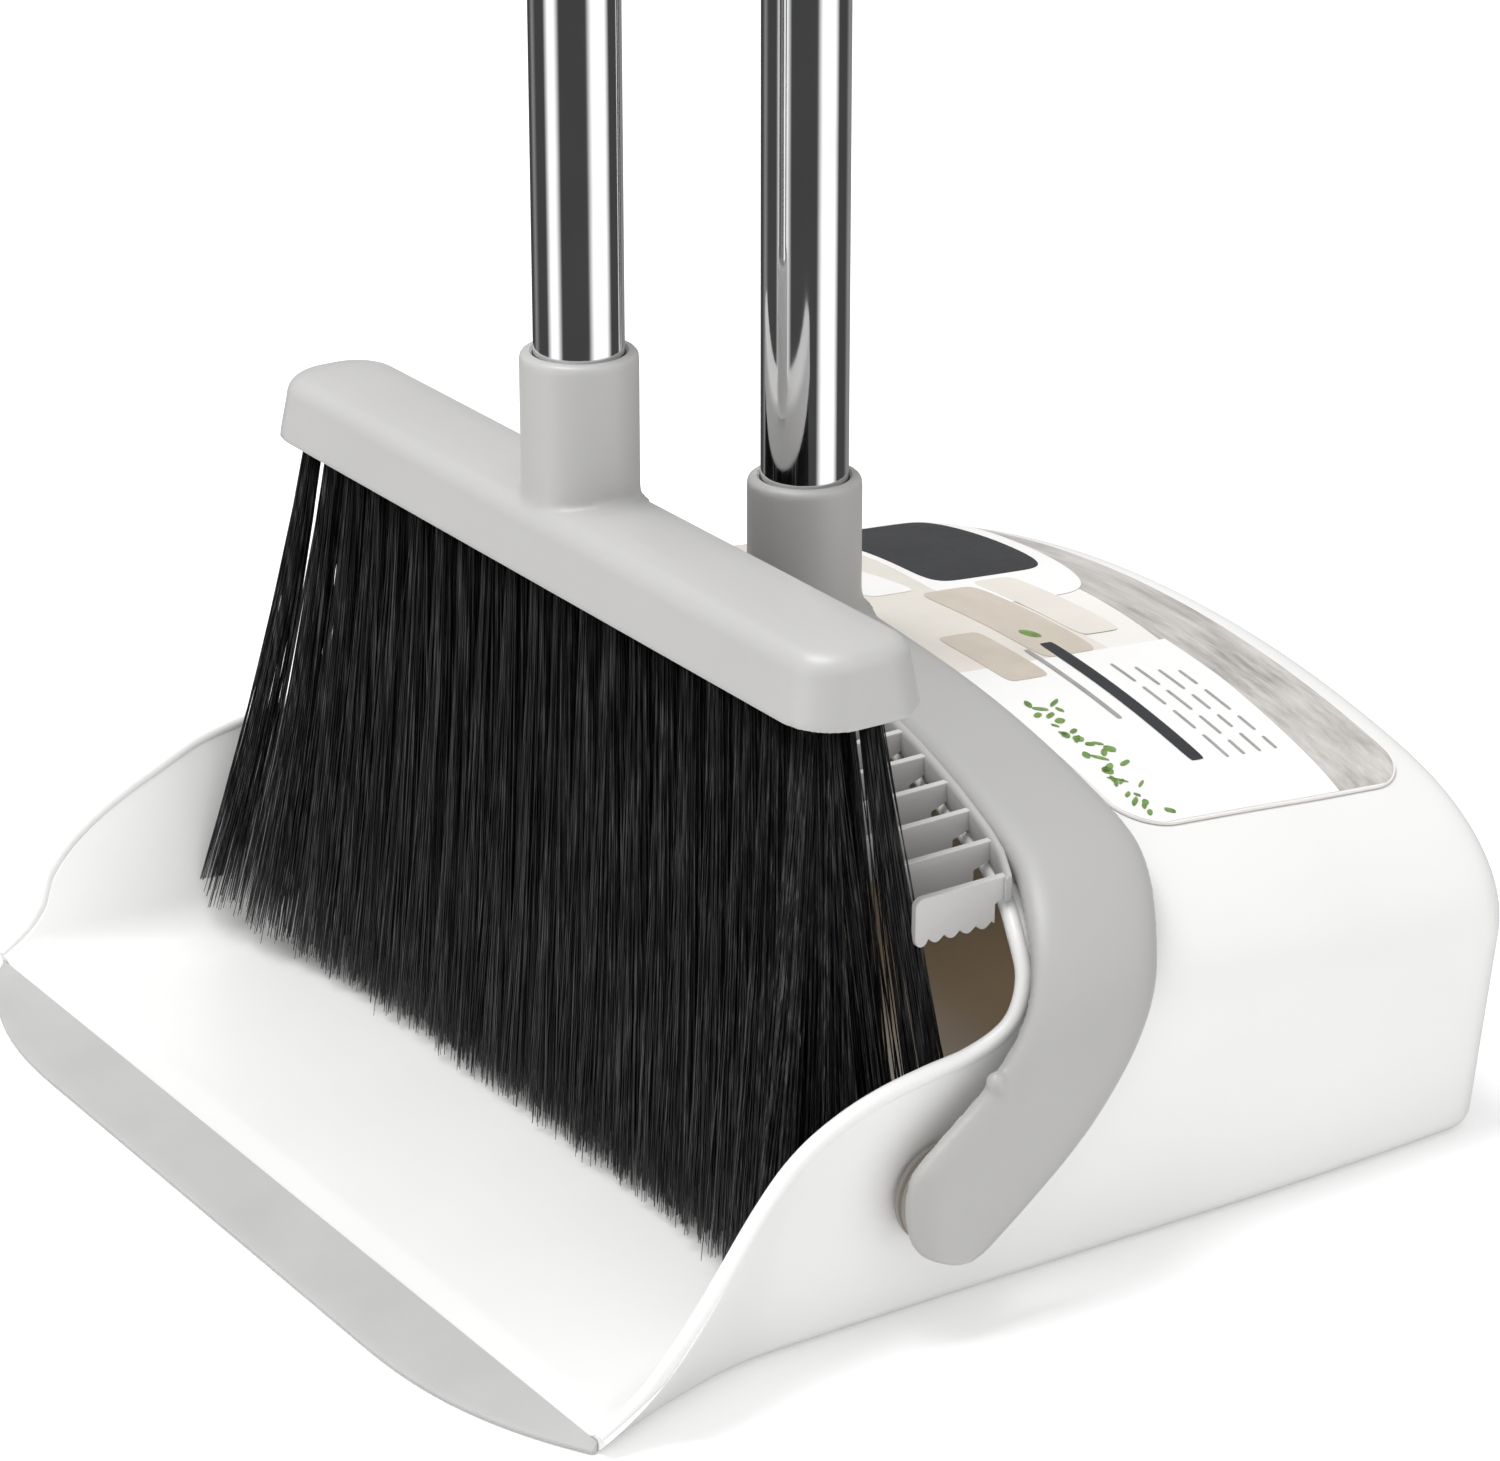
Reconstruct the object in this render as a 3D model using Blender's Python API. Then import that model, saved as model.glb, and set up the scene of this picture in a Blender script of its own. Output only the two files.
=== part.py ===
"""Long-handled broom and upright dustpan set, metres, +Z up, the pan's mouth towards -Y.

The origin is on the ground under the middle of the set. X = 0 is the plane of symmetry.
"""

import math

import bmesh
import bpy
from mathutils import Vector

# ---- Driving dimensions ------------------------------------------------------------------

TUBE_OD = 0.0220
TUBE_WALL = 0.0006
BORE_GAP = 0.0004
PLUG_GAP = 0.0003

PAN_FRONT = -0.1275
PAN_BACK = 0.1478
PAN_HALF_WIDTH = 0.1370
PAN_LIP_HALF_WIDTH = 0.1520
PAN_WALL = 0.0030
PAN_LIP_THICKNESS = 0.0022
HOOD_CREST = 0.1128
HOOD_FALL = 0.070
HOOD_ROOF_RADIUS = 0.390
MOUTH_CORNER_X, MOUTH_CORNER_Z = 0.1140, 0.0660
BACK_CORNER_X, BACK_CORNER_Z = 0.0960, 0.0540
OUTER_FLOOR_FILLET = 0.004
INNER_FLOOR_FILLET = 0.016
BACK_ROUNDING = 0.010

STRIP_LENGTH = 0.0200
STRIP_HALF_WIDTH = 0.1520
STRIP_THICKNESS = 0.0028

PIVOT = Vector((0.0, -0.0300, 0.0335))
PIN_RADIUS = 0.0040
PIN_HEAD_RADIUS = 0.0060
PIN_HEAD = 0.0020
BUSH_RADIUS = 0.0125
BUSH_WALL_GAP = 0.0010
RUNNING_GAP = 0.00035

YOKE_OUT_X = 0.1550
YOKE_THICKNESS = 0.0068
YOKE_CREST = 0.1215
YOKE_ROOF_RADIUS = 0.400
YOKE_ROOF_END_X = 0.118
YOKE_CORNER_Z = 0.068

SOCKET_OD = 0.0288
SOCKET_BORE_DEPTH = 0.0230
TIP_RADIUS = 0.0090
TIP_LENGTH = 0.0090
TIP_FLANGE = 0.0020
PLUG_DEPTH = 0.0250

PAN_POLE_Y = 0.0277
PAN_SOCKET_TOP = 0.1548
PAN_POLE_TOP = 0.9300
PAN_GRIP_LENGTH = 0.1050
BROOM_POLE_Y = -0.0372
BROOM_SOCKET_TOP = 0.1984
BROOM_POLE_TOP = 1.2850
BROOM_GRIP_LENGTH = 0.1150
GRIP_RADIUS = 0.0138
GRIP_TOP = 0.0230
HANGING_HOLE_RADIUS = 0.0048
JOINT_COLLAR = 0.0030

TOOTH_COUNT = 23
TOOTH_SPAN = 0.2500
TOOTH_THICKNESS = 0.0020
TOOTH_HEIGHT = 0.0125
TOOTH_TIP_Y = -0.0255
SPINE_THICKNESS = 0.0020
SPINE_DROP = 0.0016
SPINE_HEIGHT = 0.0066
SPINE_SETBACK = 0.0060
TOOTH_MOUTH_GAP = 0.0020

HEAD_HALF_LENGTH = 0.1295
HEAD_HALF_WIDTH = 0.0175
HEAD_CORNER = 0.0130
HEAD_Y = -0.0385
HEAD_BOTTOM = 0.1450
HEAD_TOP = 0.1632
HEAD_WALL = 0.0026

CLIP_Z = 0.7600
CLIP_HEIGHT = 0.0240
CLIP_WALL = 0.0030
CLIP_MOUTH_HALF = 0.0085

RING_SEGMENTS = 24

# Where each moving body's empty stands, and what it hangs on.
BODIES = {
    "pan": (None, Vector((0.0, 0.0, 0.0))),
    "handle": ("pan", PIVOT),
    "clip": ("handle", Vector((0.0, PAN_POLE_Y, CLIP_Z))),
    "broom": ("clip", Vector((0.0, BROOM_POLE_Y, CLIP_Z))),
}

# Name: colour, roughness, metallic.
MATERIALS = {
    "white_plastic": ((0.90, 0.90, 0.89), 0.32, 0.0),
    "grey_plastic": ((0.60, 0.59, 0.575), 0.45, 0.0),
    "grey_rubber": ((0.58, 0.57, 0.57), 0.65, 0.0),
    "inner_plastic": ((0.20, 0.20, 0.21), 0.50, 0.0),
    "polished_steel": ((0.80, 0.80, 0.81), 0.12, 1.0),
    "bristle_fibre": ((0.015, 0.015, 0.016), 0.50, 0.0),
    "printed_film": ((0.80, 0.78, 0.75), 0.30, 0.0),
}


# ---- Small tools ---------------------------------------------------------------------------


def clear_scene():
    for old in list(bpy.data.objects):
        bpy.data.objects.remove(old, do_unlink=True)


def make_material(name):
    """The named material, made on its first use."""
    if name in bpy.data.materials:
        return bpy.data.materials[name]
    colour, roughness, metallic = MATERIALS[name]
    made = bpy.data.materials.new(name)
    made.use_nodes = True
    shader = made.node_tree.nodes["Principled BSDF"]
    shader.inputs["Base Color"].default_value = (*colour, 1.0)
    shader.inputs["Roughness"].default_value = roughness
    shader.inputs["Metallic"].default_value = metallic
    return made


def make_empties():
    """One empty for each body, standing on its joint, parented down the chain."""
    for name, (parent, place) in BODIES.items():
        empty = bpy.data.objects.new(f"{name}_body", None)
        empty.empty_display_size = 0.02
        bpy.context.scene.collection.objects.link(empty)
        empty.location = place
        if parent:
            empty.parent = bpy.data.objects[f"{parent}_body"]
            empty.location = place - BODIES[parent][1]


def add_object(name, bm, body):
    """An object from bm, which is in world metres, under the empty of its body."""
    bmesh.ops.remove_doubles(bm, verts=bm.verts, dist=1e-6)
    bmesh.ops.recalc_face_normals(bm, faces=bm.faces)
    bmesh.ops.translate(bm, verts=bm.verts, vec=-BODIES[body][1])
    mesh = bpy.data.meshes.new(name)
    bm.to_mesh(mesh)
    bm.free()
    made = bpy.data.objects.new(name, mesh)
    bpy.context.scene.collection.objects.link(made)
    made.parent = bpy.data.objects[f"{body}_body"]
    return made


def add_part(name, bm, material, body):
    """A sub-part: an object with a material, shaded smooth up to 35 degrees."""
    part = add_object(name, bm, body)
    part.data.materials.append(make_material(material))
    part.data.shade_smooth()
    part.data.set_sharp_from_angle(angle=math.radians(35))
    return part


def combine(part, bm, operation, body):
    """Joins bm to the part, or cuts it out, with a Boolean whose guide object stays hidden."""
    guide = add_object(f"guide_{part.name}_{len(part.modifiers)}", bm, body)
    guide.hide_render = True
    guide.display_type = "WIRE"
    boolean = part.modifiers.new(operation.lower(), "BOOLEAN")
    boolean.operation = operation
    boolean.solver = "EXACT"
    boolean.object = guide


def loft(loops, closed=False):
    """A closed surface through loops of equal length, capped at both ends unless it's a ring."""
    bm = bmesh.new()
    rows = [[bm.verts.new(point) for point in loop] for loop in loops]
    pairs = list(zip(rows, rows[1:]))
    if closed:
        pairs.append((rows[-1], rows[0]))
    for low, high in pairs:
        for i in range(len(low)):
            j = (i + 1) % len(low)
            bm.faces.new((low[i], low[j], high[j], high[i]))
    if not closed:
        bm.faces.new(rows[0])
        bm.faces.new(rows[-1])
    return bm


def turned(profile, centre, axis="Z", segments=RING_SEGMENTS):
    """A closed profile of (radius, distance) turned about an axis through centre."""
    loops = []
    for step in range(segments):
        angle = 2 * math.pi * step / segments
        across, up = math.cos(angle), math.sin(angle)
        loop = []
        for radius, along in profile:
            offset = (radius * across, radius * up, along)
            if axis == "X":
                offset = (along, radius * across, radius * up)
            loop.append(Vector(centre) + Vector(offset))
        loops.append(loop)
    return loft(loops, closed=True)


def rod(radius, low, high, centre, axis="Z", segments=RING_SEGMENTS):
    """A plain cylinder between two distances along the axis."""
    profile = [(0.0, low), (radius, low), (radius, high), (0.0, high)]
    return turned(profile, centre, axis, segments)


def smooth_path(points, steps):
    """Points on a Catmull-Rom curve through the given ones."""
    path = []
    for i in range(len(points) - 1):
        before = points[max(i - 1, 0)]
        start, end = points[i], points[i + 1]
        after = points[min(i + 2, len(points) - 1)]
        for step in range(steps):
            t = step / steps
            path.append(tuple(
                0.5 * (2 * q + (r - p) * t + (2 * p - 5 * q + 4 * r - s) * t**2
                       + (3 * q - p - 3 * r + s) * t**3)
                for p, q, r, s in zip(before, start, end, after)
            ))
    path.append(tuple(points[-1]))
    return path


def corner_curve(start, start_way, end, end_way, steps):
    """A round corner from start to end, leaving and arriving along the two given directions."""
    cross = start_way[0] * end_way[1] - start_way[1] * end_way[0]
    apart = (end[0] - start[0], end[1] - start[1])
    reach = (apart[0] * end_way[1] - apart[1] * end_way[0]) / cross
    meet = (start[0] + reach * start_way[0], start[1] + reach * start_way[1])
    first = [start[i] + 0.62 * (meet[i] - start[i]) for i in (0, 1)]
    second = [end[i] + 0.62 * (meet[i] - end[i]) for i in (0, 1)]
    curve = []
    for step in range(steps + 1):
        t = step / steps
        curve.append(tuple(
            (1 - t)**3 * start[i] + 3 * (1 - t)**2 * t * first[i]
            + 3 * (1 - t) * t**2 * second[i] + t**3 * end[i]
            for i in (0, 1)
        ))
    return curve


def rounded_rectangle(half_x, half_y, corner, steps=5):
    """Points anticlockwise round a rectangle with round corners."""
    points = []
    for turn, (sx, sy) in enumerate(((1, 1), (-1, 1), (-1, -1), (1, -1))):
        for step in range(steps + 1):
            angle = math.pi / 2 * (turn + step / steps)
            points.append((sx * (half_x - corner) + corner * math.cos(angle),
                           sy * (half_y - corner) + corner * math.sin(angle)))
    return points


# ---- The pan -------------------------------------------------------------------------------


def base_half_width(y):
    """Half the pan's width at the ground: straight sides, a flared front, a slight taper behind."""
    front = max(0.0, (-y - 0.075) / 0.053)
    back = max(0.0, (y - 0.060) / 0.085)
    flare = PAN_LIP_HALF_WIDTH - PAN_HALF_WIDTH
    return PAN_HALF_WIDTH + flare * front**1.5 - 0.0030 * back**2


def side_slope(y):
    """How far the side wall leans out for each metre that it rises."""
    ahead = max(0.0, (-y - 0.020) / 0.100)
    return 0.09 + 0.08 * ahead + 0.70 * ahead**3


def crest_height(y):
    return HOOD_CREST - HOOD_FALL * y


# The side wall's rim and the hood's mouth, seen from the side, as (y, z).
RIM = [(-0.1290, 0.0030), (-0.1210, 0.0080), (-0.1147, 0.0140), (-0.1100, 0.0220), (-0.1020, 0.0310),
       (-0.0920, 0.0400), (-0.0820, 0.0475), (-0.0700, 0.0550), (-0.0573, 0.0592), (-0.0450, 0.0617),
       (-0.0325, 0.0632), (-0.0200, 0.0646), (-0.0099, 0.0693), (-0.0042, 0.0777), (-0.0018, 0.0850),
       (0.0000, 0.0890), (0.0060, 0.0980), (0.0130, 0.1080), (0.0175, 0.1160), (0.0200, 0.1300)]


def between(points, value):
    """The height at value on the straight lines through (place, height) points, held at both ends."""
    for (low, low_height), (high, high_height) in zip(points, points[1:]):
        if value < high:
            return low_height + (high_height - low_height) * max(0.0, (value - low) / (high - low))
    return points[-1][1]


def hood_corner(y):
    """Where the section at y stops being straight: roof x, then wall z, which stays over the rim."""
    share = min(max(y / 0.100, 0.0), 1.0)
    corner_x = MOUTH_CORNER_X + (BACK_CORNER_X - MOUTH_CORNER_X) * share
    corner_z = MOUTH_CORNER_Z + (BACK_CORNER_Z - MOUTH_CORNER_Z) * share
    return corner_x, min(corner_z, between(RIM, y) + 0.008)


def pan_half_outline(y, inset, fillet, floor):
    """The right half of the hood's section at y, from the floor to the crest, as (x, z)."""
    slope = side_slope(y)
    base = base_half_width(y) - inset
    lean = math.atan2(1.0, slope)
    foot = base - fillet * math.tan(lean / 2)
    points = []
    for step in range(4):
        angle = lean * step / 3
        points.append((foot + fillet * math.sin(angle), floor + fillet * (1 - math.cos(angle))))
    corner_x, corner_z = hood_corner(y)
    corner_z = max(corner_z, points[-1][1] + 0.004)
    side = (base + slope * (corner_z - floor), corner_z)
    crest = crest_height(y) - inset
    roof_slope = -corner_x / HOOD_ROOF_RADIUS
    roof = (corner_x, crest - corner_x**2 / (2 * HOOD_ROOF_RADIUS))
    points += corner_curve(side, (slope, 1.0), roof, (-1.0, -roof_slope), 6)
    for share in (0.66, 0.33, 0.0):
        x = share * corner_x
        points.append((x, crest - x**2 / (2 * HOOD_ROOF_RADIUS)))
    return points


def pan_loop(y, inset, fillet, floor, shrink=0.0, back_slant=0.0):
    """The whole section at y, shrunk towards its middle where the back is rounded off."""
    half = pan_half_outline(y, inset, fillet, floor)
    whole = half + [(-x, z) for x, z in reversed(half[:-1])]
    width, height = base_half_width(y), crest_height(y)
    loop = []
    for x, z in whole:
        x *= 1 - shrink / width
        z = floor + shrink * 0.45 + (z - floor) * (1 - 1.45 * shrink / height)
        loop.append((x, y + back_slant * z / height, z))
    return loop


PAN_STATIONS = (-0.120, -0.112, -0.102, -0.090, -0.076, -0.056, -0.034, -0.012, 0.012, 0.045, 0.080, 0.110)
BACK_SLANT = 0.004


def back_loops(back, inset, fillet, floor, rounding):
    """The last sections, which round the hood off into its back wall."""
    loops = []
    for step in range(4):
        angle = math.pi / 2 * step / 3.4
        y = back - rounding + rounding * math.sin(angle)
        loops.append(pan_loop(y, inset, fillet, floor, rounding * (1 - math.cos(angle)), BACK_SLANT))
    return loops


def pan_outside():
    loops = [pan_loop(PAN_FRONT, 0.0, OUTER_FLOOR_FILLET * 0.4, 0.0)]
    loops += [pan_loop(y, 0.0, OUTER_FLOOR_FILLET, 0.0) for y in PAN_STATIONS]
    return loft(loops + back_loops(PAN_BACK - BACK_SLANT, 0.0, OUTER_FLOOR_FILLET, 0.0, BACK_ROUNDING))


def pan_inside():
    lip = pan_loop(PAN_FRONT, PAN_WALL, INNER_FLOOR_FILLET * 0.3, PAN_LIP_THICKNESS)
    loops = [[(x, PAN_FRONT - 0.02, z) for x, y, z in lip], lip]
    loops += [pan_loop(y, PAN_WALL, INNER_FLOOR_FILLET, PAN_WALL) for y in PAN_STATIONS]
    back = PAN_BACK - BACK_SLANT - PAN_WALL
    return loft(loops + back_loops(back, PAN_WALL, INNER_FLOOR_FILLET, PAN_WALL, BACK_ROUNDING - PAN_WALL))


def pan_mouth_cutter():
    """Everything above the rim and ahead of the hood's mouth."""
    side = smooth_path(RIM, 2)
    side.insert(0, (-0.150, side[0][1]))
    side += [(RIM[-1][0], 0.150), (-0.150, 0.150)]
    return loft([[(x, y, z) for y, z in side] for x in (-0.23, 0.23)])


def build_pan_shell():
    shell = add_part("pan_shell", pan_outside(), "white_plastic", "pan")
    combine(shell, pan_inside(), "DIFFERENCE", "pan")
    combine(shell, pan_mouth_cutter(), "DIFFERENCE", "pan")
    hole = rod(PIN_RADIUS + RUNNING_GAP, -0.2, 0.2, PIVOT, "X")
    combine(shell, hole, "DIFFERENCE", "pan")


def strip_edge(x):
    """How far the lip strip's front edge is drawn back at x, from its straight middle."""
    beyond = max(0.0, (abs(x) - 0.080) / (STRIP_HALF_WIDTH - 0.080))
    return 0.0185 * beyond**2.4


def build_lip_strip():
    """A soft wedge: as thick as the pan's edge behind, thin in front."""
    back = PAN_FRONT - 0.0003
    steps = 28
    loops = []
    for i in range(steps + 1):
        x = STRIP_HALF_WIDTH * math.sin(math.pi / 2 * (2 * i / steps - 1))
        front = back - STRIP_LENGTH + strip_edge(x)
        nose = 0.0006 + 0.0004 * (strip_edge(x) > 0.012)
        loops.append([(x, back, 0.0), (x, back, STRIP_THICKNESS), (x, front + 0.002, nose + 0.0005),
                      (x, front, nose), (x, front, 0.0)])
    add_part("lip_strip", loft(loops), "grey_rubber", "pan")


LABEL_HALF_WIDTH = 0.1120
LABEL_FRONT, LABEL_BACK = 0.0460, 0.1310
LABEL_GAP, LABEL_THICKNESS = 0.0006, 0.0004
LABEL_CORNER = 0.0120


def roof_height(x, y):
    """The hood's outer surface over the label."""
    half = pan_half_outline(y, 0.0, OUTER_FLOOR_FILLET, 0.0)
    for (x0, z0), (x1, z1) in zip(half[::-1], half[-2::-1]):
        if abs(x) <= x1:
            return z0 + (z1 - z0) * (abs(x) - x0) / (x1 - x0)
    return half[0][1]


def build_label():
    """A film with round corners that follows the roof."""
    columns, steps = 36, 3
    rings = []
    for i in range(columns + 1):
        x = LABEL_HALF_WIDTH * math.sin(math.pi / 2 * (2 * i / columns - 1))
        corner = max(0.0, abs(x) - (LABEL_HALF_WIDTH - LABEL_CORNER)) / LABEL_CORNER
        cut = LABEL_CORNER * (1 - math.sqrt(max(0.0, 1 - corner**2)))
        ys = [LABEL_FRONT + cut + (LABEL_BACK - LABEL_FRONT - 2 * cut) * j / steps for j in range(steps + 1)]
        low = [(x, y, roof_height(x, y) + LABEL_GAP) for y in ys]
        high = [(x, y, z + LABEL_THICKNESS) for x, y, z in reversed(low)]
        rings.append(low + high)
    add_part("label", loft(rings), "printed_film", "pan")


def wall_x(z, inset=0.0):
    """The side wall's face at the pivot, at height z."""
    return base_half_width(PIVOT.y) - inset + side_slope(PIVOT.y) * (z - inset)


def build_pivots():
    """On each side a headed pin from inside the wall, through a spacer bush, into the yoke's arm."""
    inner_face = wall_x(PIVOT.z - PIN_HEAD_RADIUS, PAN_WALL) - RUNNING_GAP
    bush_start = wall_x(PIVOT.z + BUSH_RADIUS) + BUSH_WALL_GAP
    arm_face = YOKE_OUT_X - YOKE_THICKNESS
    pin_end = arm_face + 0.0034
    pin = [(0.0, inner_face - PIN_HEAD), (PIN_HEAD_RADIUS, inner_face - PIN_HEAD),
           (PIN_HEAD_RADIUS, inner_face), (PIN_RADIUS, inner_face), (PIN_RADIUS, pin_end), (0.0, pin_end)]
    bore = PIN_RADIUS + RUNNING_GAP
    bush = [(bore, bush_start), (BUSH_RADIUS, bush_start), (BUSH_RADIUS, arm_face - RUNNING_GAP),
            (bore, arm_face - RUNNING_GAP)]
    for name, side in (("right", 1), ("left", -1)):
        sided = [(r, side * x) for r, x in pin]
        add_part(f"pivot_pin_{name}", turned(sided, PIVOT, "X"), "grey_plastic", "pan")
        sided = [(r, side * x) for r, x in bush]
        add_part(f"pivot_bush_{name}", turned(sided, PIVOT, "X"), "grey_plastic", "pan")


# ---- The yoke and its comb -----------------------------------------------------------------

# The band's edges on the arm, as (height, front y, rear y), and then on the arch, as (x, front y, rear y).
ARM_EDGES = [(0.0200, -0.0365, -0.0235), (0.0230, -0.0402, -0.0185), (0.0280, -0.0428, -0.0110),
             (0.0360, -0.0437, -0.0005), (0.0440, -0.0415, 0.0080), (0.0520, -0.0318, 0.0140),
             (0.0600, -0.0213, 0.0185), (0.0680, -0.0147, 0.0222)]
ARCH_EDGES = [(0.1540, -0.0100, 0.0260), (0.1500, -0.0065, 0.0285), (0.1440, -0.0035, 0.0318),
              (0.1380, -0.0010, 0.0350), (0.1310, 0.0020, 0.0378), (0.1250, 0.0045, 0.0392),
              (0.1180, 0.0062, 0.0400), (0.1015, 0.0088, 0.0408), (0.0800, 0.0115, 0.0412),
              (0.0600, 0.0132, 0.0415), (0.0250, 0.0142, 0.0425)]


def yoke_corner():
    """The arch's outer corner between arm and roof, as (x, z)."""
    end_z = YOKE_CREST - YOKE_ROOF_END_X**2 / (2 * YOKE_ROOF_RADIUS)
    slope = YOKE_ROOF_END_X / YOKE_ROOF_RADIUS
    return corner_curve((YOKE_OUT_X, YOKE_CORNER_Z), (0.0, 1.0), (YOKE_ROOF_END_X, end_z), (-1.0, slope), 24)


def yoke_height(x):
    """The arch's outer height at x."""
    if abs(x) <= YOKE_ROOF_END_X:
        return YOKE_CREST - x**2 / (2 * YOKE_ROOF_RADIUS)
    corner = yoke_corner()
    for (x0, z0), (x1, z1) in zip(corner, corner[1:]):
        if x1 <= abs(x) <= x0:
            return z0 + (z1 - z0) * (x0 - abs(x)) / max(x0 - x1, 1e-9)
    return YOKE_CORNER_Z


def yoke_stations():
    """(outer point, inward normal, front y, rear y) from the right arm's end to the crest."""
    stations = []
    for z, front, rear in ARM_EDGES:
        stations.append(((YOKE_OUT_X, z), (-1.0, 0.0), front, rear))
    for x, front, rear in ARCH_EDGES:
        z = yoke_height(x)
        rise = yoke_height(x - 0.001) - yoke_height(x + 0.001)
        length = math.hypot(0.002, rise)
        stations.append(((x, z), (-rise / length, -0.002 / length), front, rear))
    stations.append(((0.0, YOKE_CREST), (0.0, -1.0), ARCH_EDGES[-1][1], ARCH_EDGES[-1][2]))
    return stations


def yoke_band():
    """The arch and arms as one band with its outer edges rounded."""
    soft = 0.0022
    half = []
    for (x, z), (nx, nz), front, rear in yoke_stations():
        def at(depth, y):
            return (x + nx * depth, y, z + nz * depth)
        half.append([at(soft, front), at(soft * 0.3, front + soft * 0.3), at(0.0, front + soft),
                     at(0.0, rear - soft), at(soft * 0.3, rear - soft * 0.3), at(soft, rear),
                     at(YOKE_THICKNESS, rear), at(YOKE_THICKNESS, front)])
    mirrored = [[(-x, y, z) for x, y, z in loop] for loop in reversed(half[:-1])]
    return loft(half + mirrored)


def socket_body(low, top, pole_y, flare):
    """A pole socket with a round rim and a flared foot."""
    outer = SOCKET_OD / 2
    profile = [(0.0, low), (outer + flare, low), (outer + flare * 0.35, low + flare * 0.8),
               (outer, low + flare * 2), (outer, top - 0.0015), (outer - 0.0012, top), (0.0, top)]
    return turned(profile, (0.0, pole_y, 0.0))


def socket_bore(top, pole_y):
    """The room inside a socket: the tube's bore, then the narrower one of the thread tip."""
    bore, narrow = TUBE_OD / 2 + BORE_GAP, TIP_RADIUS + BORE_GAP
    step = top - SOCKET_BORE_DEPTH
    profile = [(0.0, step - TIP_LENGTH - 0.0006), (narrow, step - TIP_LENGTH - 0.0006), (narrow, step),
               (bore, step), (bore, top + 0.01), (0.0, top + 0.01)]
    return turned(profile, (0.0, pole_y, 0.0))


def build_yoke():
    yoke = add_part("yoke", yoke_band(), "grey_plastic", "handle")
    combine(yoke, socket_body(YOKE_CREST - 0.0010, PAN_SOCKET_TOP, PAN_POLE_Y, 0.0012), "UNION", "handle")
    combine(yoke, socket_bore(PAN_SOCKET_TOP, PAN_POLE_Y), "DIFFERENCE", "handle")
    blind = YOKE_OUT_X - YOKE_THICKNESS + 0.0040
    combine(yoke, rod(PIN_RADIUS + RUNNING_GAP, -blind, blind, PIVOT, "X"), "DIFFERENCE", "handle")


def yoke_front(x):
    """The arch's front edge at x."""
    return between([(edge_x, front) for edge_x, front, rear in reversed(ARCH_EDGES)], abs(x))


def spine_rear(x):
    """The spine's rear face at x, clear of the arch's front edge where the arch turns down too."""
    return yoke_front(abs(x) + SPINE_SETBACK) - 0.0004


def comb_spine():
    """A thin bar along the arch's front edge."""
    loops = []
    reach = TOOTH_SPAN / 2 + TOOTH_THICKNESS
    steps = 24
    for i in range(steps + 1):
        x = reach * (2 * i / steps - 1)
        rear = spine_rear(x)
        front = rear - SPINE_THICKNESS
        top = yoke_height(x) - SPINE_DROP
        loops.append([(x, front, top), (x, rear, top), (x, rear, top - SPINE_HEIGHT),
                      (x, front, top - SPINE_HEIGHT)])
    return loft(loops)


def comb_tooth(x):
    """An upright plate from the spine forwards; its lower corner behind stays ahead of the hood."""
    root = spine_rear(x) - SPINE_THICKNESS / 2
    top = yoke_height(abs(x) + TOOTH_THICKNESS / 2) - SPINE_DROP - 0.0008
    low = top - TOOTH_HEIGHT
    mouth = between([(z, y) for y, z in RIM[11:]], low)
    behind = min(mouth - TOOTH_MOUTH_GAP, root - 0.001)
    side = [(root, top), (root, top - SPINE_HEIGHT * 0.7), (behind, top - SPINE_HEIGHT), (behind, low),
            (TOOTH_TIP_Y, low + 0.0015), (TOOTH_TIP_Y, top - 0.0020), (TOOTH_TIP_Y + 0.0020, top - 0.0008)]
    half = TOOTH_THICKNESS / 2
    return loft([[(x + shift, y, z) for y, z in side] for shift in (-half, half)])


def build_comb():
    """The spine with its row of teeth, joined into one body."""
    comb = add_part("comb", comb_spine(), "grey_plastic", "handle")
    pitch = TOOTH_SPAN / (TOOTH_COUNT - 1)
    for i in range(TOOTH_COUNT):
        combine(comb, comb_tooth(pitch * (i - (TOOTH_COUNT - 1) / 2)), "UNION", "handle")


# ---- Poles ---------------------------------------------------------------------------------


def build_tube(name, low, high, pole_y, body):
    outer, inner = TUBE_OD / 2, TUBE_OD / 2 - TUBE_WALL
    profile = [(inner, low), (outer, low), (outer, high), (inner, high)]
    add_part(name, turned(profile, (0.0, pole_y, 0.0)), "polished_steel", body)


def build_thread_tip(name, socket_top, pole_y, body):
    """The pole's plastic end: a plug in the tube, a flange under it and the tip below."""
    flange = TUBE_OD / 2
    plug = TUBE_OD / 2 - TUBE_WALL - PLUG_GAP
    step = socket_top - SOCKET_BORE_DEPTH + 0.0003
    profile = [(0.0, step - TIP_LENGTH), (TIP_RADIUS - 0.001, step - TIP_LENGTH),
               (TIP_RADIUS, step - TIP_LENGTH + 0.001), (TIP_RADIUS, step), (flange, step),
               (flange, step + TIP_FLANGE), (plug, step + TIP_FLANGE), (plug, step + TIP_FLANGE + PLUG_DEPTH),
               (0.0, step + TIP_FLANGE + PLUG_DEPTH)]
    add_part(name, turned(profile, (0.0, pole_y, 0.0)), "inner_plastic", body)


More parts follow.
